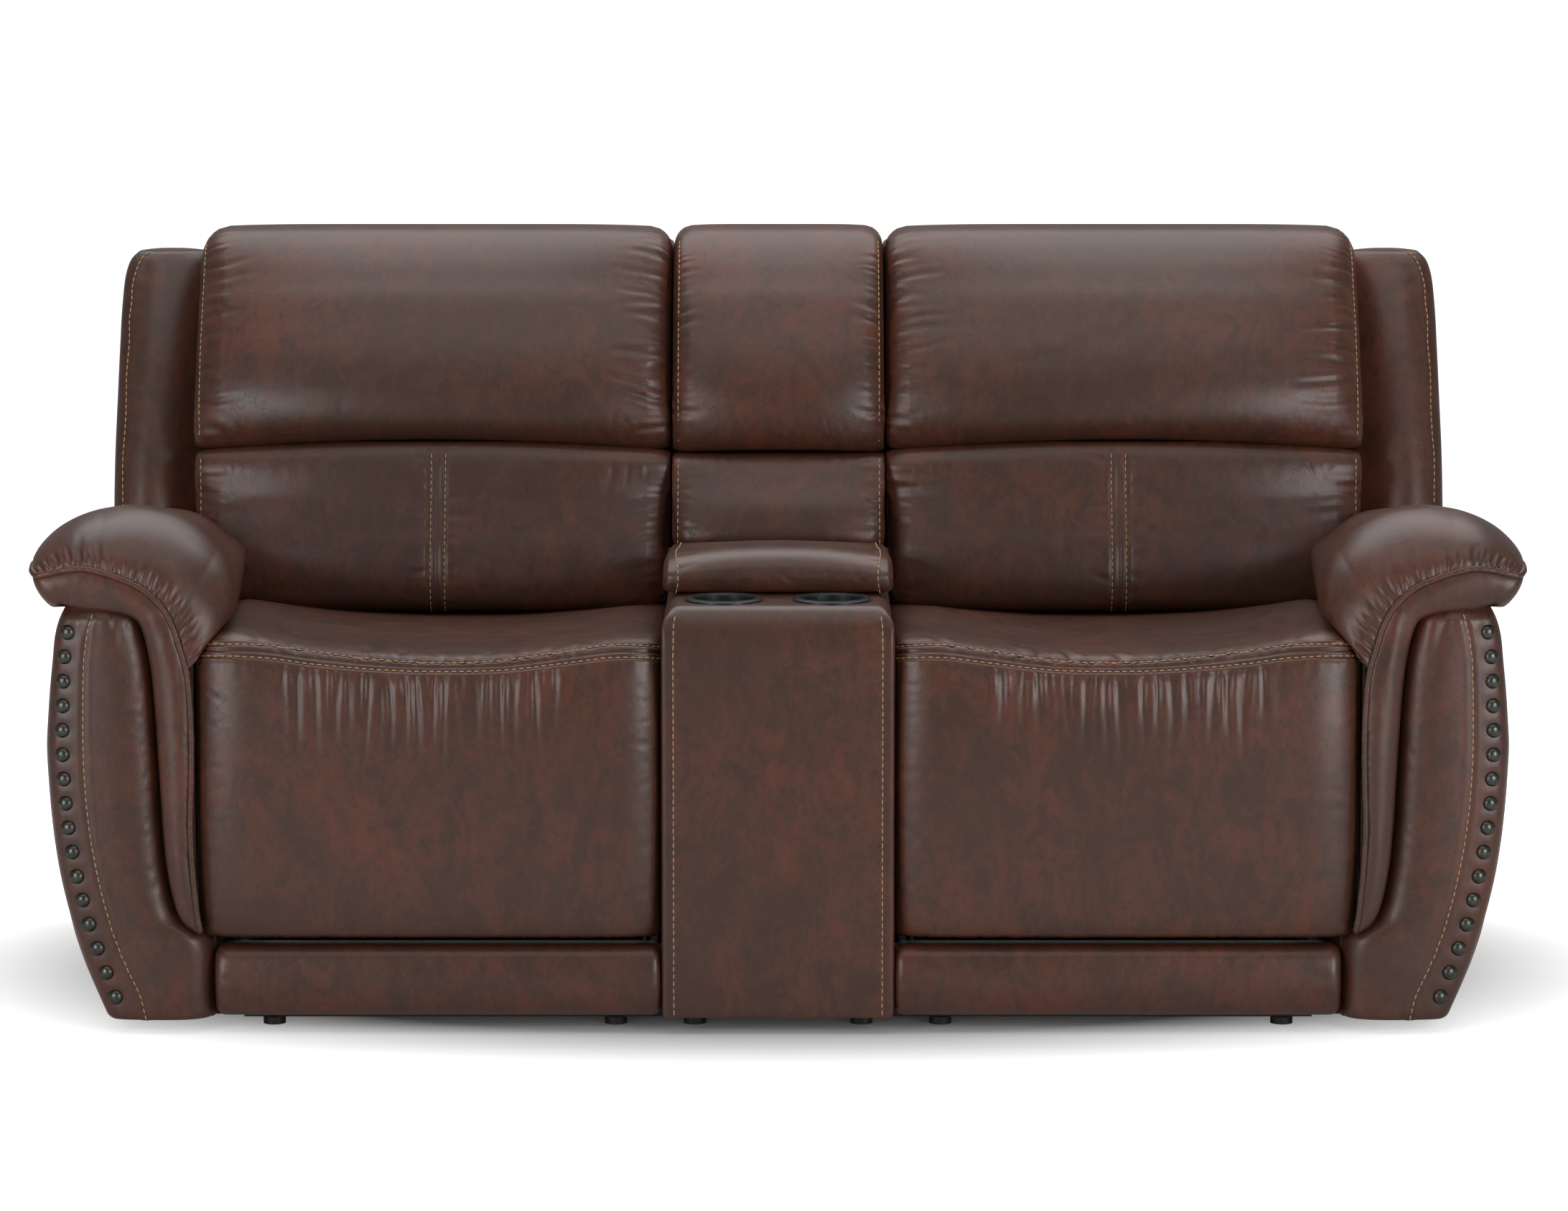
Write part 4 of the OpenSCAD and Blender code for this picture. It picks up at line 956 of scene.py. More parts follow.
def seat_cover(hand, seed):
    """Seat and its flap in one skin."""

    def weight(p):
        """Points stand closest round the seam, and wide apart where nobody sees them."""
        y, z = p.T
        hidden = (z < 430) & (y > -430)
        seam = (y < -465) & (z > 445)
        upper = (y < -503) & (z > 330)
        return np.select([hidden, seam, upper, y < -503], [0.3, 3.6, 1.8, 1.1], 0.6)

    def spacing(x):
        return np.where((x > -672) & (x < -262), 3.0, 5.0)

    rings = []
    for x, inset in stations(SEAT_OUT, SEAT_IN, 9, 9, 5, spacing):
        ring = crowded(seat_ring(x), 300, weight)
        drop = seat_drop(x)
        ring[:, 0] += drop * step(-400, -480, ring[:, 0])
        ring[:, 1] -= corner_fall(drop, ring[:, 1])
        ring = pull_in(ring, inset)
        rings.append(at_x(x, ring))
    cover = Cover(*skin_of(rings, (1, 1)), seed)
    xs = np.linspace(SEAT_OUT + 5, SEAT_IN - 4, 90)
    low = np.array([(x, -522 + seat_drop(x), float(SEAM_LOW(x))) for x in xs])
    apart = 15 - 5 * np.exp(-(((xs + 440) / 150) ** 2))
    high = low + np.column_stack([xs * 0, xs * 0 + 3, apart])
    for row in (low, high):
        row[:, 2] -= corner_fall(np.array([seat_drop(x) for x in row[:, 0]]), row[:, 2])
    cover.groove([(low + high) / 2], 2.6, 2.4, 0.0, AHEAD)
    cover.groove([low, high], 2.6, 1.3, 1.3, AHEAD)
    middle = low[(low[:, 0] > -650) & (low[:, 0] < -284)]
    short = (middle, (0, 0, -1), 44, (30, 80), 0.015, 3, (0.0, 1.0), 0.01)
    cover.gather([short], (2.4, 3.6), (0.5, 1.6), 0.8, AHEAD)
    long = (middle, (0, 0, -1), 16, (80, 135), 0.02, 3, (0.0, 1.0), 0.012)
    cover.gather([long], (3.6, 5.6), (0.9, 2.2), 0.7, AHEAD)
    cover.gather([(low, (0, 0, -1), 34, (12, 34), 0.1, 2)], (3.0, 4.6), (0.2, 0.8), 0.5, AHEAD)
    middle = high[(high[:, 0] > -700) & (high[:, 0] < -215)]
    cover.gather([(middle, (0, 0.75, 0.8), 34, (16, 42), 0.12, 9)], (3.0, 4.6), (0.8, 2.0), 0.7)
    cover.gather([(middle, (0, 0.9, 0.5), 12, (34, 90), 0.3, 12)], (5.0, 8.0), (1.0, 2.6), 0.6)
    for x, way in ((SEAT_OUT + 12, 1), (SEAT_IN - 12, -1)):
        side = np.array([(x, FRONT_Y + 14, z) for z in np.linspace(470, 160, 30)])
        cover.gather([(side, (way, -0.2, -0.1), 16, (16, 46), 0.3, 0)], (3.4, 5.5), (0.2, 0.8))
    chance = cover.chance
    lines = []
    for _ in range(11):
        at = np.array([chance.uniform(-720, -220), chance.uniform(-440, -60), 520.0])
        go = np.array([chance.normal(0, 0.5), chance.normal(0, 1), 0])
        go *= chance.uniform(50, 130) / np.linalg.norm(go)
        bend = np.array([go[1], -go[0], 0]) * chance.normal(0, 0.15)
        lines.append([at - go / 2, at + bend, at + go / 2])
    cover.pinch(lines, (7, 12), (0.8, 2.2), 0.5, None, "both ends")
    cover.work()
    piece = cover.object(hand + "_seat_cover", hand, None, [hand + "_seat_cushion"], 0.65)
    fold_over(piece)
    sew(cover, [low, high], hand, FOLD + hand, AHEAD)
    return piece


def fold_over(piece):
    """Bakes a piece's placement into its points."""
    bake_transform(piece)


def footrest_core(hand):
    """Boxed pad behind the flap, which gives the footrest its thick edges."""
    rings = []
    for x, inset in stations(SEAT_OUT - 1.5, SEAT_IN + 1.5, 6, 6, 7):
        front = -499.5 + seat_drop(x)
        outline = [
            (-453, 142), (-453, 300), (-453, 440), (-458, 452), (-470, 455), (front + 12, 454),
            (front + 2, 444), (front, 420), (front, 300), (front, 170), (front + 3, 142), (front + 14, 134),
            (-466, 133),
        ]
        if front > -468:  # near its ends the pad is thin and its corners small
            outline = [
                (-453, 142), (-453, 300), (-453, 440), (-455, 450), (-458, 454), (front + 4, 452),
                (front + 1, 444), (front, 420), (front, 300), (front, 170), (front + 1, 144), (front + 4, 136),
                (-458, 134),
            ]
        ring = pull_in(run_through(outline, 100, True), min(inset, 5))
        rings.append(at_x(x, ring))
    cover = Cover(*skin_of(rings, (1, 1)))
    return cover.object(hand + "_footrest_core", hand, hand + "_footrest", [hand + "_footrest_pad"], 0.8)


# ---------------------------------------------------------------- arms

# Line of the welt across the arm's front (x, z), from the outer tip to the inner side.
WELT_FRONT = [
    (-979, 615), (-968, 617), (-945, 621), (-918, 624), (-891, 619), (-858, 607), (-826, 588), (-803, 560),
    (-790, 530), (-782, 496), (-779, 470),
]
BAND_PAIRS = [  # welt's x, y, z, lower edge's x, y, z, and the way it faces: 0 is the side, 90 the front
    (-979, 126, 614, -948, 126, 572, 0), (-982, 0, 619, -950, 0, 570, 0), (-983, -250, 622, -952, -250, 570, 0),
    (-984, -440, 625, -954, -430, 568, 0), (-984, -484, 624, -956, -478, 569, 18),
    (-982, -506, 619, -960, -500, 573, 48), (-975, -517, 615, -958, -510, 576, 74),
    (-963, -519, 617, -950, -513, 574, 88), (-945, -519, 621, -942, -514, 577, 90),
    (-918, -519, 624, -922, -514, 571, 90), (-891, -519, 619, -895, -514, 568, 90),
    (-862, -519, 609, -870, -514, 565, 90), (-836, -519, 596, -852, -514, 560, 90),
    (-812, -519, 573, -842, -514, 551, 90), (-797, -519, 545, -835, -514, 530, 90),
    (-788, -519, 515, -830, -514, 505, 90), (-781, -519, 490, -827, -514, 485, 90),
    (-777, -519, 455, -824, -514, 450, 90), (-775, -519, 400, -821, -514, 400, 90),
    (-776, -519, 340, -818, -514, 340, 90), (-778, -519, 280, -815, -514, 280, 90),
    (-776, -518, 223, -810, -514, 223, 90), (-772, -517, 175, -800, -513, 172, 90),
    (-769, -516, 150, -788, -512, 148, 90), (-766, -515, 137, -769, -512, 134, 90),
]
# Outer and inner edges of the arm's front, along its height.
PANEL_OUT = follow([(10, -889), (22, -893), (60, -909), (100, -924), (150, -939), (200, -951), (250, -959),
                    (300, -964), (350, -967), (385, -968), (420, -966), (460, -963), (500, -959), (530, -956),
                    (554, -950), (575, -940)])
PANEL_IN = follow([(10, -753), (26, -752), (84, -752), (118, -754), (132, -762), (150, -790), (172, -803),
                   (223, -813), (290, -819), (358, -822), (425, -825), (492, -830), (530, -837), (575, -850)])
NAIL_SHIFTS = (  # heights, and how far the padding carries a nail inward from the frame's hole there
    [50, 120, 200, 330, 400, 445, 478, 510, 545],
    [4, 4, 2.5, 0.7, 0, -2, -5.5, -9.5, -12.5],
)
SEAM_FROM_NAILS = ([50, 120, 540], [34, 29, 28])  # heights, and how far inside the nails the seam runs there
DEGREE = 0.7  # what a degree of turn counts for, in millimetres, where the band's rings are spaced


def arm_fall(y):
    """How much of the arm top's height, and of its overhang over the seat, is left at y."""
    behind = y - FRONT_Y
    height_lost = 0.5 * np.clip((behind - 100) / 550, 0, 1)
    overhang_lost = 0.76 * np.clip((behind - 50) / 600, 0, 1)
    return 1 - height_lost, 1 - overhang_lost


def arm_dome(hand, seed):
    """Pillow top of the arm, drawn into the welt along its front."""
    many, few = 170, 40  # points over the top and under it
    top = run_through([
        (-984, 616), (-987, 632), (-979, 649), (-961, 667), (-938, 682), (-914, 692), (-892, 697), (-868, 700),
        (-844, 699), (-818, 695), (-794, 687), (-770, 674), (-750, 657), (-734, 637), (-723, 615), (-717, 594),
        (-716, 574), (-721, 559), (-736, 551), (-757, 549),
    ], many)
    under = run_through(
        [(-768, 551), (-784, 557), (-804, 564), (-860, 568), (-930, 570), (-958, 578), (-980, 600)], few
    )
    welt = run_through(WELT_FRONT, many)
    low = run_through(
        [(-783, 482), (-793, 530), (-812, 562), (-838, 590), (-870, 607), (-905, 616), (-983, 615)], few
    )
    section = np.vstack([top, under])
    front = np.vstack([welt, low])
    is_top = np.arange(many + few) < many
    # How far back the front's roll reaches, from the outer tip over the top to the inner side.
    radius = np.interp(np.linspace(0, 1, many), [0, 0.12, 0.3, 0.7, 0.88, 1], [46, 100, 155, 150, 95, 62])
    radius = np.r_[radius, np.full(few, 62.0)]

    def settled(flat, y):
        """The section with the arm's fall and its drawn-in inner side at each point's y."""
        high, over = arm_fall(y)
        x = np.where(flat[:, 0] > -776, -776 + (flat[:, 0] + 776) * over, flat[:, 0])
        drawn = (flat[:, 0] + 880) * 0.55 * (1 - over) + (x - flat[:, 0])
        lean = np.where(flat[:, 0] > -880, drawn, 0)
        x = x - np.maximum(lean, 0) * step(588, 650, flat[:, 1]) * is_top
        z = np.where(is_top & (flat[:, 1] > 566), 566 + (flat[:, 1] - 566) * high, flat[:, 1])
        return np.column_stack([x, y, z])

    front_y, end_radius = FRONT_Y + 2.0, 30.0
    rings = []
    for turn in np.radians(np.r_[0.5, np.arange(3, 90, 3.0), 90]):
        share = np.where(is_top, math.sin(turn), step(0.62, 1.0, math.sin(turn)))
        flat = front + (section - front) * share[:, None]
        rings.append(settled(flat, front_y + radius * (1 - math.cos(turn))))
    start = front_y + radius
    for s in np.linspace(0, 1, 70)[1:]:
        rings.append(settled(section, start + (ARM_REAR - end_radius - start) * s))
    for turn in np.radians([14, 28, 42, 56, 70, 84]):
        flat = pull_in(section, end_radius * (1 - math.cos(turn)) * 0.9)
        rings.append(settled(flat, np.full(len(flat), ARM_REAR - end_radius * (1 - math.sin(turn)))))
    cover = Cover(*skin_of(rings, (0.5, 3)), seed)
    seam = np.column_stack([welt[:, 0], np.full(many, front_y), welt[:, 1]])

    def away(share):
        """The way a gather leaves the welt: toward the top, and back along the arm."""
        k = int(np.clip(share * (many - 1), 1, many - 2))
        side, up = top[k] - welt[k]
        return (side, 22.0, up)

    cover.gather([(seam, away, 76, (14, 38), 0.1, 2, (0.05, 1.0))], (2.0, 3.3), (0.8, 2.2), 0.8)
    cover.gather([(seam, away, 18, (34, 80), 0.2, 6, (0.2, 0.98))], (4.5, 8), (0.4, 1.3))
    edge = [(-990, y, 618) for y in np.linspace(-470, 110, 50)]
    cover.gather([(edge, (0.35, 0, 1), 52, (12, 34), 0.15, 2)], (2.6, 4.2), (0.4, 1.2))
    cover.work()
    return cover.object(hand + "_arm_top_cover", hand, "base", [hand + "_arm_pad"], 0.8)


def arm_band(hand, seed):
    """Gathered band under the welt, from the arm's outer side to the foot of its inner front."""
    path = run_through([(*p[:6], p[6] * DEGREE) for p in BAND_PAIRS], 330)
    outward = facing(path[:, 6] / DEGREE)
    rings = []
    count = len(path)
    for k, out in enumerate(outward):
        up, down = path[k, :3], path[k, 3:6]
        across = down - up
        width = np.linalg.norm(across)
        swell = min(9.0, width * 0.2)
        t = np.linspace(0, 1, 13)
        arc = up + across * t[:, None] + out * (swell * np.sin(np.pi * t) ** 0.7)[:, None]
        deep = 24.0 if width > 20 else 16.0
        t = np.linspace(0, 1, 6)[1:-1, None]
        back = down - out * deep + (up - down) * t
        sides = [[edge - out * deep * part for part in (0.5, 1.0)] for edge in (down, up)]
        ring = np.vstack([arc, *sides[0], back, *sides[1][::-1]])
        ends = min(k, count - 1 - k)
        if ends < 4:
            c = ring.mean(0)
            ring = c + (ring - c) * (0.80 + 0.05 * ends)
        rings.append(ring)
    cover = Cover(*skin_of(rings, (0.5, 1)), seed)
    upper = path[:, :3] + outward * 4

    def down_way(share):
        """The way across the band, from the welt to its lower edge."""
        row = path[int(np.clip(share * (count - 1), 0, count - 1))]
        return row[3:6] - row[:3]

    cover.gather([(upper, down_way, 90, (7, 18), 0.22, 1)], (2.4, 3.6), (0.15, 0.6))
    cover.gather([(upper, (0, 0, -1), 12, (40, 120), 0.1, 10, (0.62, 0.92))], (5, 8), (0.4, 1.2))
    cover.work()
    piece = cover.object(hand + "_arm_band_cover", hand, "base", [hand + "_arm_band"], 0.6)
    pairs = np.array(BAND_PAIRS, float)
    welt = run_through(pairs[:, :3] + facing(pairs[:, 6]) + (0, 0, 1), 420)
    pipe(welt, 4.3, 10).object(hand + "_arm_welt", hand, "base")
    return piece


def facing(degrees):
    """Level directions: 0 degrees is the arm's outer side, and 90 is the front."""
    turn = np.radians(degrees)
    return np.column_stack([-np.cos(turn), -np.sin(turn), 0 * turn])


def pipe(path, radius, sides):
    """A round cord along a path."""
    ahead = np.gradient(path, axis=0)
    ahead /= np.linalg.norm(ahead, axis=1)[:, None]
    up = np.array([0.0, 0.3, 1.0])
    up -= ahead[0] * (up @ ahead[0])
    up /= np.linalg.norm(up)
    rings = []
    turn = np.linspace(0, 2 * np.pi, sides, endpoint=False)
    for k in range(len(path)):
        up = up - ahead[k] * (up @ ahead[k])
        up /= np.linalg.norm(up)
        side = np.cross(ahead[k], up)
        size = radius * (1 + 0.05 * math.sin(k * 1.7) + 0.04 * math.sin(k * 0.61))
        if k in (0, len(path) - 1):
            size *= 0.6
        rings.append(path[k] + size * (np.cos(turn)[:, None] * up + np.sin(turn)[:, None] * side))
    return Cover(*skin_of(rings, (1, 1)))


def nail_places():
    """Where the CAD puts the left arm's nails, from foot to top."""
    co = np.array([tuple(v.co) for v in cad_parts["nailheads"].data.vertices]) / MM
    left = co[co[:, 0] < 0]
    left = left[np.argsort(left[:, 2])]
    groups = np.split(left, np.nonzero(np.diff(left[:, 2]) > 4)[0] + 1)
    return np.array([(g.min(0) + g.max(0)) / 2 for g in groups])


def arm_panel(hand, seed):
    """Padded front of the arm, with its nails and the stitch line inside them."""
    rings = []
    for z, inset in stations(COVER_FOOT, PANEL_TOP, 8, 10, 5.5):
        level = min(z, 575)
        a, b = float(PANEL_OUT(level)), float(PANEL_IN(level))
        m, w = (a + b) / 2, (b - a) / 2
        outline = [
            (a + 3, -476), (a, -488), (a + 1, -501), (a + 8, -511), (a + 22, -516), (m - w * 0.3, -519),
            (m, -520.5), (m + w * 0.3, -520), (b - 32, -517), (b - 17, -511), (b - 6, -501), (b, -488),
            (b - 2, -476), (m, -475),
        ]
        ring = pull_in(run_through(outline, 84, True), inset)
        ring[:, 1] += 11 * step(557, 570, z) * step(-490, -512, ring[:, 1])
        rings.append(at_z(z, ring))
    cover = Cover(*skin_of(rings, (0.5, 0.5)), seed)
    nails = nail_places() + (0, -2, 0)
    nails[:, 0] += np.interp(nails[:, 2], *NAIL_SHIFTS)
    inner = nails.copy()
    inner[:, 0] += np.interp(nails[:, 2], *SEAM_FROM_NAILS)
    line = run_through(np.vstack([inner[0] + (6, 0, -28), inner, inner[-1] + (6, 0, 22)]), 70)
    cover.groove([line], 3.0, 1.3, 0.8)
    cover.groove([[n - (0, 0, 1), n + (0, 0, 1)] for n in nails], 9.0, 1.6, 0.3)
    top = [(x, -517, 560) for x in np.linspace(-940, -850, 20)]
    side = [(float(PANEL_IN(z)) - 8, -516, z) for z in np.linspace(520, 200, 30)]
    down, across = (top, (0, 0, -1), 10, (12, 45), 0.2, 0), (side, (-1, 0, -0.3), 16, (10, 34), 0.4, 0)
    cover.gather([down, across], (3, 5.5), (0.3, 1.1))
    cover.work()
    piece = cover.object(hand + "_arm_front_cover", hand, "base", [hand + "_arm_front"], 0.5)
    at, out = cover.lay([nails])[0]
    flip = (-1, 1, 1) if hand == "right" else (1, 1, 1)
    NAILS.append((at * flip, out * flip))
    sew(cover, [line], hand, "base")
    return piece


def arm_side(hand, seed):
    """Outer side of the arm, with its level seam and the opening for the release cup."""
    rings = []
    top, inner = 562.0, -886.0
    for z, inset in stations(COVER_FOOT, top, 8, 8, 6.5):
        a = float(PANEL_OUT(z))
        corner = a + 40
        swell = 3.0 * math.sin(math.pi * (z - COVER_FOOT) / (top - COVER_FOOT))
        outline = [
            (a + 5, -473), (a + 1, -462), (a - 1, -430), (a - 1 - swell * 0.6, -300), (a - 1 - swell, -170),
            (a - 1 - swell * 0.6, -40), (a - 1, 90), (a + 2, 118), (a + 14, 131), (corner, ARM_REAR),
            (-892, 131), (-886, 126), (-885, 60), (-885, -170), (-885, -420), (-886, -468), (-893, -473),
            (corner, -474),
        ]
        if a > -930:  # low down the side is so thin that its inner corners draw in
            outline = [(x, y) for x, y in outline if x != corner or corner > inner]
            outline = [(min(x, inner) if x > a + 39 else x, y) for x, y in outline]
        ring = pull_in(run_through(outline, 200, True), inset)
        rings.append(at_z(z, ring))
    cover = Cover(*skin_of(rings, (0.5, 0.5)), seed)
    seam = np.array([(-969, y, 310) for y in np.linspace(-462, 122, 80)])
    cover.groove([seam], 3.0, 2.2, 0.8)
    up_and_down = [(seam, (0, 0, way), 26, (14, 60), 0.3, 4) for way in (1, -1)]
    cover.gather(up_and_down, (4, 7), (0.3, 1.1))
    cover.work()
    piece = cover.object(hand + "_arm_side_cover", hand, None, [hand + "_arm_side"], 0.5)
    cut_out(piece, [(-1010, -216.5, 367.5), (-926, -103.5, 432.5)], hand)
    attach(piece, "base")
    sew(cover, [seam + (0, 0, 5)], hand, "base")
    return piece


def cut_out(piece, corners, hand):
    """Cuts a box through a cover."""
    (x0, y0, z0), (x1, y1, z1) = corners
    if hand == "right":
        x0, x1 = -x1, -x0
    mesh = bpy.data.meshes.new("cutter")
    points = [(x, y, z) for x in (x0, x1) for y in (y0, y1) for z in (z0, z1)]
    mesh.from_pydata(
        [(x * MM, y * MM, z * MM) for x, y, z in points],
        [],
        [(0, 1, 3, 2), (4, 6, 7, 5), (0, 4, 5, 1), (2, 3, 7, 6), (0, 2, 6, 4), (1, 5, 7, 3)],
    )
    shape = bmesh.new()
    shape.from_mesh(mesh)
    bmesh.ops.recalc_face_normals(shape, faces=shape.faces)
    shape.to_mesh(mesh)
    shape.free()
    cutter = bpy.data.objects.new("cutter", mesh)
    bpy.context.scene.collection.objects.link(cutter)
    cut = piece.modifiers.new("cut", "BOOLEAN")
    cut.operation, cut.object, cut.solver = "DIFFERENCE", cutter, "MANIFOLD"
    seen = piece.evaluated_get(bpy.context.evaluated_depsgraph_get())
    made = bpy.data.meshes.new_from_object(seen)
    piece.modifiers.remove(cut)
    old = piece.data
    piece.data = made
    made.name = piece.name
    bpy.data.meshes.remove(old)
    bpy.data.objects.remove(cutter)
    bpy.data.meshes.remove(mesh)


def wing(hand, seed):
    """Outer wing beside the back pillows."""
    rows = [  # height, outer x, inner x, front y, back y
        (306, -958, -839, 142, 205), (400, -959, -839, 140, 228), (500, -960, -839, 141, 252),
        (600, -960, -834, 151, 277), (700, -960, -830, 179, 302), (800, -958, -828, 217, 327),
        (850, -957, -828, 237, 340), (900, -956, -828, 261, 353), (940, -954, -828, 284, 364),
        (962, -951, -829, 299, 371), (978, -945, -832, 311, 375), (988, -935, -840, 320, 378),
    ]
    rings = []
    for z, xo, xi, yf, yb in run_through(rows, 118):
        deep = yb - yf
        wide = xi - xo
        outline = [
            (xo + 4, yb), (xo, yb - deep * 0.25), (xo, yf + deep * 0.35), (xo + wide * 0.06, yf + deep * 0.14),
            (xo + wide * 0.22, yf + 4), (xo + wide * 0.42, yf), (xo + wide * 0.66, yf + deep * 0.1),
            (xo + wide * 0.86, yf + deep * 0.26), (xi, yf + deep * 0.42), (xi, yb - deep * 0.2), (xi - 3, yb),
            ((xo + xi) / 2, yb + 1),
        ]
        ring = run_through(outline, 64, True)
        rings.append(at_z(z, ring))
    cover = Cover(*skin_of(rings, (0.5, 5)), seed)
    edge = np.array([(r[1] + 9, r[3] + (r[4] - r[3]) * 0.08, r[0]) for r in run_through(rows, 60)])
    edge = edge[edge[:, 2] > 560]
    cover.groove([edge], 3.0, 1.8, 0.6)
    cover.gather([(edge, (1, -0.5, -0.1), 30, (14, 44), 0.25, 6)], (3, 5), (0.15, 0.6))
    cover.gather([(edge, (0.9, -0.6, -0.6), 7, (40, 90), 0.4, 8)], (7, 11), (0.3, 0.9), 0.4)
    cover.work()
    piece = cover.object(hand + "_wing_cover", hand, hand + "_back", [hand + "_wing"], 0.6)
    sew(cover, [edge + (4.5, -4, 0)], hand, hand + "_back")
    return piece


def roll_edge(a, b, along, down):
    """Rounds a square edge: distances past the roll's start on its two faces become a quarter round."""
    u, v = np.clip(a / along, 0, 1), np.clip(b / down, 0, 1)
    both = (u > 0) & (v > 0)
    return (
        np.where(both, u * np.sqrt(1 - v * v / 2) * along, a),
        np.where(both, v * np.sqrt(1 - u * u / 2) * down, b),
    )


def back_cover(hand, body, seed, x0, x1, owner=None):
    """Outside back: panel and sides over the shell boards."""
    owner = owner or hand
    wide = x1 - x0 > WIDE
    cover = soften(owner + "_back_shell", 6.5, 10, seed)
    if hand == "right":
        cover.points = cover.points * (-1, 1, 1)
        cover.turn_out()
    if wide:  # behind the wing the top falls away
        out = step(-826, -852, cover.points[:, 0])
        cover.points[:, 2] -= out * 34 * step(900, 975, cover.points[:, 2])
    rear = follow([(215, 395), (230, 398), (990, 518)])
    ends = (x0 + 26, x1 - 26)
    seams = [np.array([(x, float(rear(z)) + 3, z) for z in np.linspace(222, 965, 90)]) for x in ends]
    seams.append(np.array([(x, 520, 966) for x in np.linspace(*ends, 90)]))
    cover.groove(seams, 3.2, 2.2, 0.7)
    below = (seams[2], (0, 0, -1), 30 if wide else 10, (16, 90), 0.2, 3)
    sides = toward_each_other(seams[0], seams[1], (1, 0, -0.2), 18, (16, 80), 0.3, 3)
    cover.gather([below, *sides], (5, 9), (0.3, 1.2))
    cover.work()
    piece = cover.object(owner + "_back_cover", hand, body, [owner + "_back_shell"], 0.4)
    sew(cover, [seams[0] + (5, 0, 0), seams[1] + (-5, 0, 0), seams[2] + (0, 0, -5)], hand, body)
    return piece


def console_case(seed):
    """Covered case of the console, with seams down both sides of its front."""
    cover = soften("console_cover", 5.5, 5, seed)
    x, y, z = cover.points.T
    ahead = step(70, 40, y)
    half, nose, top = 152, 518, 572
    nose_back, nose_down, side_in, side_down = 36, 58, 22, 26
    back, down = roll_edge(-y - (nose - nose_back), z - (top - nose_down), nose_back, nose_down)
    y, z = -(back + nose - nose_back), down + top - nose_down
    out, down = roll_edge(np.abs(x) - (half - side_in), z - (top - side_down), side_in, side_down)
    x = x + ahead * (np.sign(x) * (out + half - side_in) - x)
    z = z + ahead * (down + top - side_down - z)
    cover.points = np.column_stack([x * (1 + 0.024 * step(-498, -514, y)), y, z])
    seams = [np.array([(s * 143, -519, z) for z in np.linspace(30, 564, 80)]) for s in (-1, 1)]
    cover.groove(seams, 2.8, 2.0, 0.6)
    cover.gather(toward_each_other(*seams, (1, 0, 0), 34, (10, 42), 0.25, 2), (3, 5), (0.4, 1.4))
    cover.work()
    piece = cover.object("console_case_cover", "left", "base", ["console_cover"], 0.3)
    sew(cover, [seams[0] + (4.5, 0, 0), seams[1] + (-4.5, 0, 0)], "left", "base")
    return piece


def console_lid(seed):
    """Padded lid with a seam near each end."""
    bow = [
        (-360, 573.5), (-369, 577), (-374, 588), (-374, 601), (-367, 615), (-352, 626), (-328, 632),
        (-290, 633), (-240, 630), (-185, 624), (-110, 615), (-62, 609), (-22, 604), (-8, 600),
        (-3, 596), (-4, 592),
    ]
    under = [(-12, 589), (-60, 589), (-200, 589), (-320, 589), (-345, 587), (-351, 580), (-354, 574.5)]
    skirt = [(-12, 577), (-60, 575), (-200, 575), (-320, 575), (-345, 574), (-350, 573.5), (-355, 573.5)]
    rings = []
    for x, inset in stations(-155, 155, 15, 15, 4.5):
        u = abs(x) / 155
        side = float(step(126, 130, abs(x)))
        lower = [(a[0], a[1] + (b[1] - a[1]) * side) for a, b in zip(under, skirt)]
        ring = crowded(bow + lower, 190, lambda p: np.where(p[:, 0] < -300, 2.4, 1.0))
        ring[:, 1] -= 15 * u**2.4 * step(590, 628, ring[:, 1])
        ring = pull_in(ring, inset * (0.55 + 0.45 * step(576, 600, ring[:, 1])))
        rings.append(at_x(x, ring))
    cover = Cover(*skin_of(rings, (2, 2)), seed)
    seam = run_through(
        [
            (140.5, -368, 577), (139, -374, 590), (139, -368, 604), (140.5, -350, 616), (141, -250, 618),
            (141, -185, 614), (141, -62, 604), (141, -12, 600),
        ],
        80,
    )
    seams = [seam * (side, 1, 1) for side in (-1, 1)]
    cover.groove(seams, 2.6, 1.8, 0.8)
    edge = np.array([(x, -371, 588) for x in np.linspace(-120, 120, 30)])
    sides = toward_each_other(*seams, (1, 0, 0), 16, (10, 40), 0.3, 3)
    cover.gather([*sides, (edge, (0, 0.3, 1), 14, (8, 26), 0.4, 1)], (3.2, 5.5), (0.4, 1.3))
    cover.work()
    piece = cover.object("console_lid_cover", "left", "console_lid", ["console_lid_pad"], 0.7)
    sew(cover, [seams[0] + (4.5, 0, 0), seams[1] + (-4.5, 0, 0)], "left", "console_lid")
    return piece


# ---------------------------------------------------------------- settings


class LoveseatLook(bpy.types.PropertyGroup):
    """Colours and finish of the covers."""

    hide: bpy.props.FloatVectorProperty(
        name="Hide", description="Main colour of the leather", subtype="COLOR", default=(0.060, 0.0242, 0.014)
    )
    # The rusty colour also lightens the ridges beside creases, partly as a painted highlight.
    warm_hide: bpy.props.FloatVectorProperty(
        name="Rusty patches", description="Colour where the finish is rubbed thin", subtype="COLOR",
        default=(0.122, 0.0325, 0.0175),
    )
    # The dark colour is the glaze of blotches and crackle, and also the painted shade in crease valleys.
    dark_hide: bpy.props.FloatVectorProperty(
        name="Dark glaze", description="Colour of blotches, creases and crackle", subtype="COLOR",
        default=(0.028, 0.0135, 0.0095),
    )
    thread: bpy.props.FloatVectorProperty(
        name="Thread", description="Colour of the stitching", subtype="COLOR", default=(0.54, 0.35, 0.185)
    )
    shine: bpy.props.FloatProperty(
        name="Roughness", description="Middle roughness of the leather", default=0.35, min=0.1, max=0.9
    )


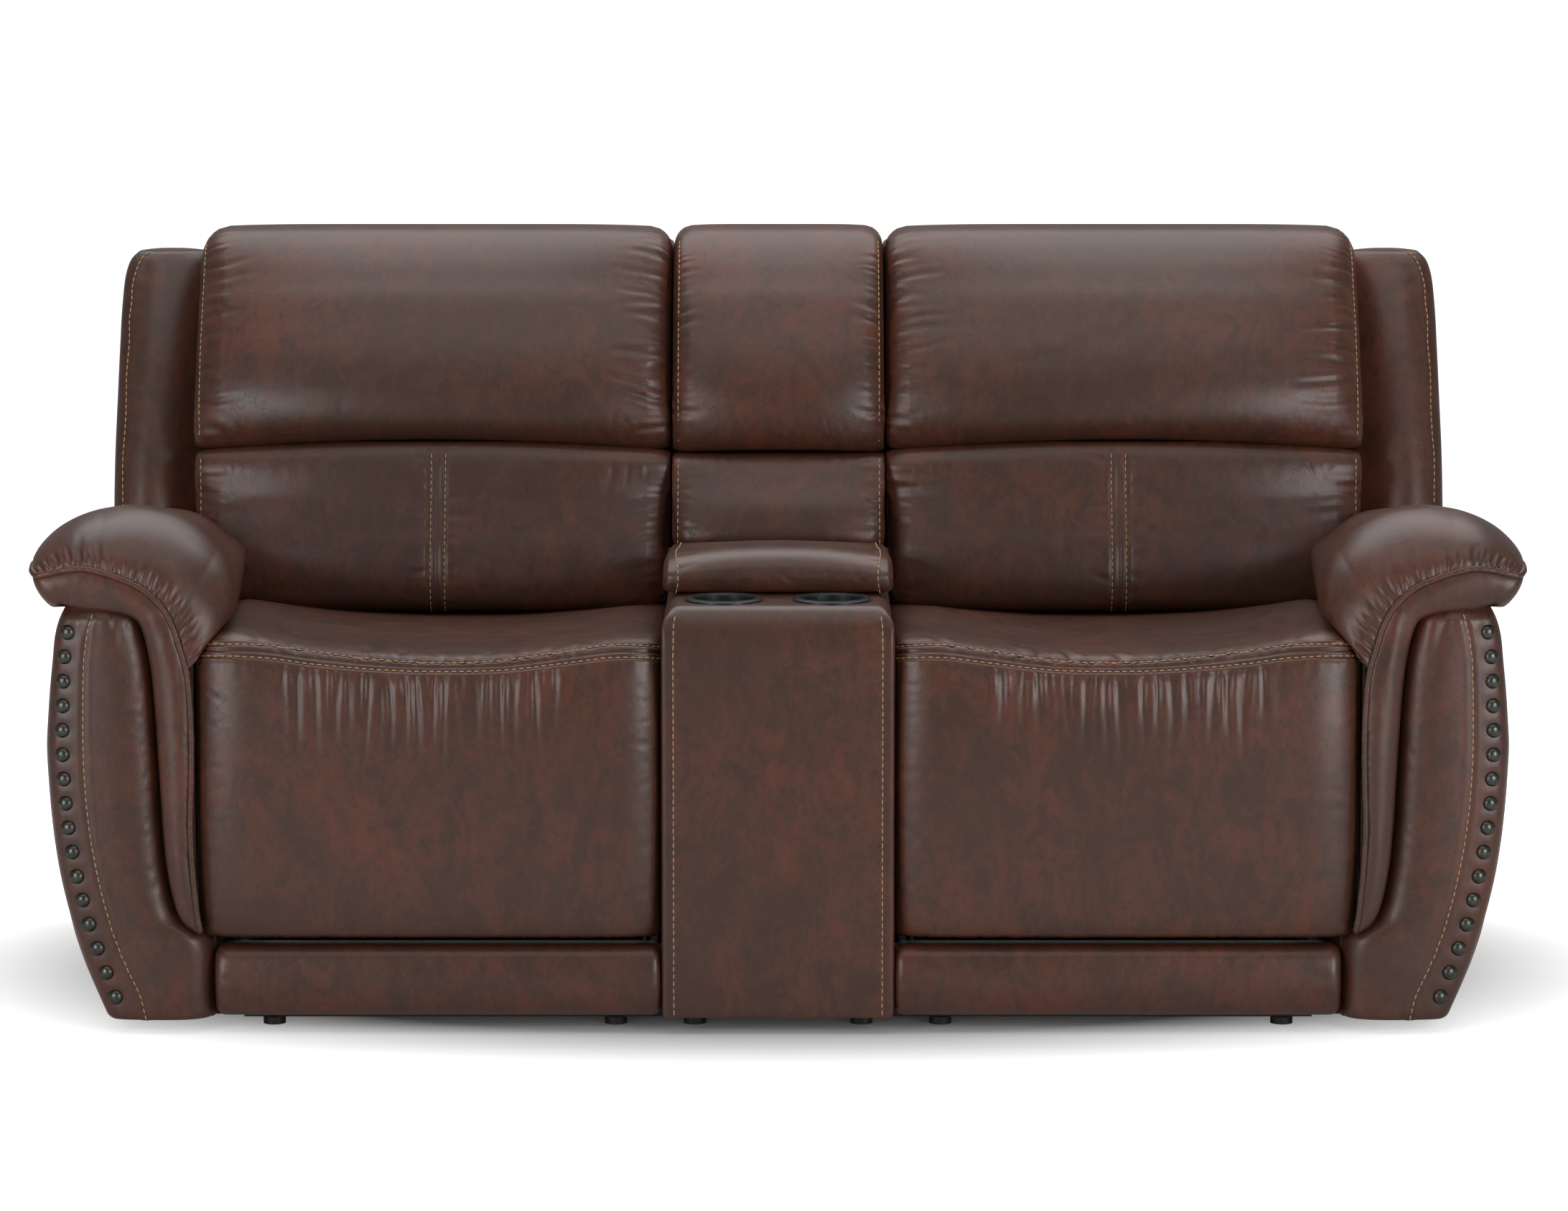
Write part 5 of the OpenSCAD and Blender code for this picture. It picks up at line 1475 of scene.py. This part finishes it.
class LoveseatSizes(bpy.types.PropertyGroup):
    """Sizes of the trim."""

    stitch_pitch: bpy.props.FloatProperty(
        name="Stitch pitch", description="Distance from stitch to stitch", default=0.0098, unit="LENGTH"
    )
    stitch_length: bpy.props.FloatProperty(
        name="Stitch length", description="Length of thread that shows in one stitch", default=0.0086,
        unit="LENGTH",
    )
    thread_width: bpy.props.FloatProperty(
        name="Thread width", description="Thickness of the thread", default=0.0019, unit="LENGTH"
    )
    nail_diameter: bpy.props.FloatProperty(
        name="Nail diameter", description="Width of a nailhead over its rim", default=0.0195, unit="LENGTH"
    )
    nail_height: bpy.props.FloatProperty(
        name="Nail height", description="How far a nailhead stands up", default=0.0082, unit="LENGTH"
    )


# ---------------------------------------------------------------- operators


FRAME_FINISHES = (  # a word in a node's name, and the finish of that node
    ("springs", "wire"), ("mech", "steel"), ("crank", "steel"), ("coupler", "steel"), ("hinge", "steel"),
    ("seat_frame", "steel"), ("nail", "nail"), ("cup_holders", "cup"), ("release", "release"),
    ("glides", "glide"), ("base_frame", "near_black_wood"), ("frame", "wood"), ("board", "wood"), ("box", "wood"),
)


def frame_finish(node):
    """The finish of a CAD node, found by the words in its name."""
    return next((finish for word, finish in FRAME_FINISHES if word in node), "leather")


class FrameFinish(bpy.types.Operator):
    """Gives the boards, steel and plastic parts of the frame their materials"""

    bl_idname = "loveseat.frame_finish"
    bl_label = "Frame finishes"

    def execute(self, context):
        for name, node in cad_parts.items():
            node.data.materials.clear()
            node.data.materials.append(finish_of(frame_finish(name)))
        return {"FINISHED"}


class BackCovers(bpy.types.Operator):
    """Makes the head and lumbar pillows, wings and outside backs"""

    bl_idname = "loveseat.back_covers"
    bl_label = "Back covers"

    def execute(self, context):
        for k, hand in enumerate(SIDES):
            body = hand + "_back"
            head_pillow(hand, body, 11 + k)
            lumbar_pillow(hand, body, 21 + k)
            wing(hand, 31 + k)
            back_cover(hand, body, 41 + k, -948, -154)
        return {"FINISHED"}


class ConsoleCovers(bpy.types.Operator):
    """Makes the console's case, lid, back pillows and outside back"""

    bl_idname = "loveseat.console_covers"
    bl_label = "Console covers"

    def execute(self, context):
        head_pillow("left", "base", 51, "console", -CONSOLE_HALF, CONSOLE_HALF)
        lumbar_pillow("left", "base", 52, "console", -CONSOLE_HALF, CONSOLE_HALF)
        console_case(53)
        console_lid(54)
        back_cover("left", "base", 55, -152, 152, "console")
        return {"FINISHED"}


class SeatCovers(bpy.types.Operator):
    """Makes the seats, footrests and front rails"""

    bl_idname = "loveseat.seat_covers"
    bl_label = "Seat and footrest covers"

    def execute(self, context):
        for k, hand in enumerate(SIDES):
            seat_cover(hand, 61 + k)
            footrest_core(hand)
            rail_cover(hand, 65 + k)
        return {"FINISHED"}


class ArmCovers(bpy.types.Operator):
    """Makes the arm tops, bands, welts, fronts and sides"""

    bl_idname = "loveseat.arm_covers"
    bl_label = "Arm covers"

    def execute(self, context):
        for k, hand in enumerate(SIDES):
            arm_dome(hand, 71 + k)
            arm_band(hand, 73 + k)
            arm_panel(hand, 75 + k)
            arm_side(hand, 77 + k)
        return {"FINISHED"}


class Stitching(bpy.types.Operator):
    """Sews every remembered seam and sets the nailheads"""

    bl_idname = "loveseat.stitching"
    bl_label = "Stitching and nails"

    def execute(self, context):
        sizes = context.scene.loveseat_sizes
        rows = stitch_tree()
        values = {
            "Pitch": sizes.stitch_pitch,
            "Stitch Length": sizes.stitch_length,
            "Thread Width": sizes.thread_width,
            "Thread": finish_of("thread"),
        }
        for body, lines in THREADS.items():
            piece = grow("stitches_" + body, rows, lines, values)
            if body.startswith(FOLD):
                fold_over(piece)
            else:
                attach(piece, body)
        nails = grow(
            "nail_rows", nail_tree(), NAILS,
            {"Diameter": sizes.nail_diameter, "Height": sizes.nail_height, "Metal": finish_of("nail")}, False,
        )
        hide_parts("nailheads")
        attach(nails, "base")
        return {"FINISHED"}


AMBIENT = 0.25
LAMPS = (  # name, place, the place it points at, width, height, watts
    ("left_window", (-2.3, -3.1, 1.1), (-0.4, -0.2, 0.55), 1.0, 1.7, 34),
    ("right_window", (2.3, -3.1, 1.1), (0.4, -0.2, 0.55), 1.0, 1.7, 42),
    ("overhead", (0.0, -1.4, 3.3), (0.0, -0.2, 0.5), 3.6, 2.0, 20),
    ("rear_sky", (0.0, 0.9, 3.1), (0.0, -0.1, 0.3), 3.8, 2.2, 54),
)
CAMERA_PLACE = (0.008, -7.72, 1.5)
CAMERA_DOWN, CAMERA_LENS = 7.31, 126.57


class Stage(bpy.types.Operator):
    """Sets the floor, lights, world and camera"""

    bl_idname = "loveseat.stage"
    bl_label = "Stage"

    def execute(self, context):
        scene = context.scene
        mesh = bpy.data.meshes.new("floor")
        mesh.from_pydata([(-30, -30, 0), (30, -30, 0), (30, 30, 0), (-30, 30, 0)], [], [(0, 1, 2, 3)])
        floor = bpy.data.objects.new("floor", mesh)
        scene.collection.objects.link(floor)
        mesh.materials.append(floor_material())
        scene.world = studio_world()
        for values in LAMPS:
            lamp(*values)
        lens = bpy.data.cameras.new("camera")
        lens.lens, lens.sensor_width = CAMERA_LENS, 36.0
        lens.clip_start, lens.clip_end = 0.1, 100.0
        camera = bpy.data.objects.new("camera", lens)
        camera.location = CAMERA_PLACE
        camera.rotation_euler = (math.radians(90 - CAMERA_DOWN), 0, 0)
        scene.collection.objects.link(camera)
        scene.camera = camera
        scene.view_settings.view_transform = "Standard"
        return {"FINISHED"}


def studio_world():
    """Even white light, which shows as plain white behind the object."""
    world = bpy.data.worlds.new("studio")
    world.use_nodes = True
    tree = world.node_tree
    path = tree.nodes.new("ShaderNodeLightPath").outputs
    seen = calculate(tree, "MAXIMUM", path["Is Camera Ray"], path["Is Transmission Ray"])
    ground = tree.nodes["Background"].inputs
    ground["Color"].default_value = (1, 1, 1, 1)
    tree.links.new(scaled(tree, seen, 1.0 - AMBIENT, AMBIENT), ground["Strength"])
    return world


def floor_material():
    """White paper floor that runs out to plain white and keeps the shadow."""
    material, tree, paper = new_material("white_floor")
    paper["Base Color"].default_value = (0.8, 0.8, 0.8, 1)
    paper["Roughness"].default_value = 0.9
    paper["Specular IOR Level"].default_value = 0.05
    values = {"Vector": object_place(tree), "Scale": (0.62, 1.0, 0.0)}
    squeezed = add(tree, "ShaderNodeMapping", values).outputs[0]
    away = add(tree, "ShaderNodeVectorMath", {0: squeezed}, operation="LENGTH").outputs["Value"]
    far = scaled(tree, scaled(tree, away, 2.9, -1.5, True), 0.98, 0.02)
    camera_ray = tree.nodes.new("ShaderNodeLightPath").outputs["Is Camera Ray"]
    glow = {"Color": (1, 1, 1, 1), "Strength": times(tree, camera_ray, far)}
    glow = add(tree, "ShaderNodeEmission", glow).outputs[0]
    both = add(tree, "ShaderNodeAddShader", {0: tree.nodes["Principled BSDF"].outputs[0], 1: glow})
    tree.links.new(both.outputs[0], tree.nodes["Material Output"].inputs["Surface"])
    return material


def lamp(name, place, at, width, height, watts):
    """An area lamp that points at a place."""
    light = bpy.data.lights.new(name, "AREA")
    light.shape, light.size, light.size_y, light.energy = "RECTANGLE", width, height, watts
    holder = bpy.data.objects.new(name, light)
    holder.location = place
    holder.rotation_euler = (Vector(at) - Vector(place)).to_track_quat("-Z", "Y").to_euler()
    bpy.context.scene.collection.objects.link(holder)


class LoveseatPanel(bpy.types.Panel):
    """Lists the pieces of the loveseat"""

    bl_idname = "VIEW3D_PT_loveseat"
    bl_label = "Loveseat"
    bl_space_type = "VIEW_3D"
    bl_region_type = "UI"
    bl_category = "Loveseat"

    def draw(self, context):
        layout = self.layout
        for group in (context.scene.loveseat_look, context.scene.loveseat_sizes):
            for key in group.__annotations__:
                layout.prop(group, key)
        for operator in OPERATORS:
            layout.operator(operator.bl_idname)


OPERATORS = (FrameFinish, BackCovers, ConsoleCovers, SeatCovers, ArmCovers, Stitching, Stage)
CLASSES = (LoveseatLook, LoveseatSizes, *OPERATORS, LoveseatPanel)


def register():
    """Adds the classes and the settings."""
    for item in CLASSES:
        bpy.utils.register_class(item)
    bpy.types.Scene.loveseat_look = bpy.props.PointerProperty(type=LoveseatLook)
    bpy.types.Scene.loveseat_sizes = bpy.props.PointerProperty(type=LoveseatSizes)


def unregister():
    """Takes the classes and the settings away."""
    del bpy.types.Scene.loveseat_sizes
    del bpy.types.Scene.loveseat_look
    for item in reversed(CLASSES):
        bpy.utils.unregister_class(item)


def main():
    """Makes every piece and the stage."""
    register()
    bpy.ops.loveseat.frame_finish()
    bpy.ops.loveseat.back_covers()
    bpy.ops.loveseat.console_covers()
    bpy.ops.loveseat.seat_covers()
    bpy.ops.loveseat.arm_covers()
    bpy.ops.loveseat.stitching()
    bpy.ops.loveseat.stage()


if __name__ == "__main__":
    main()
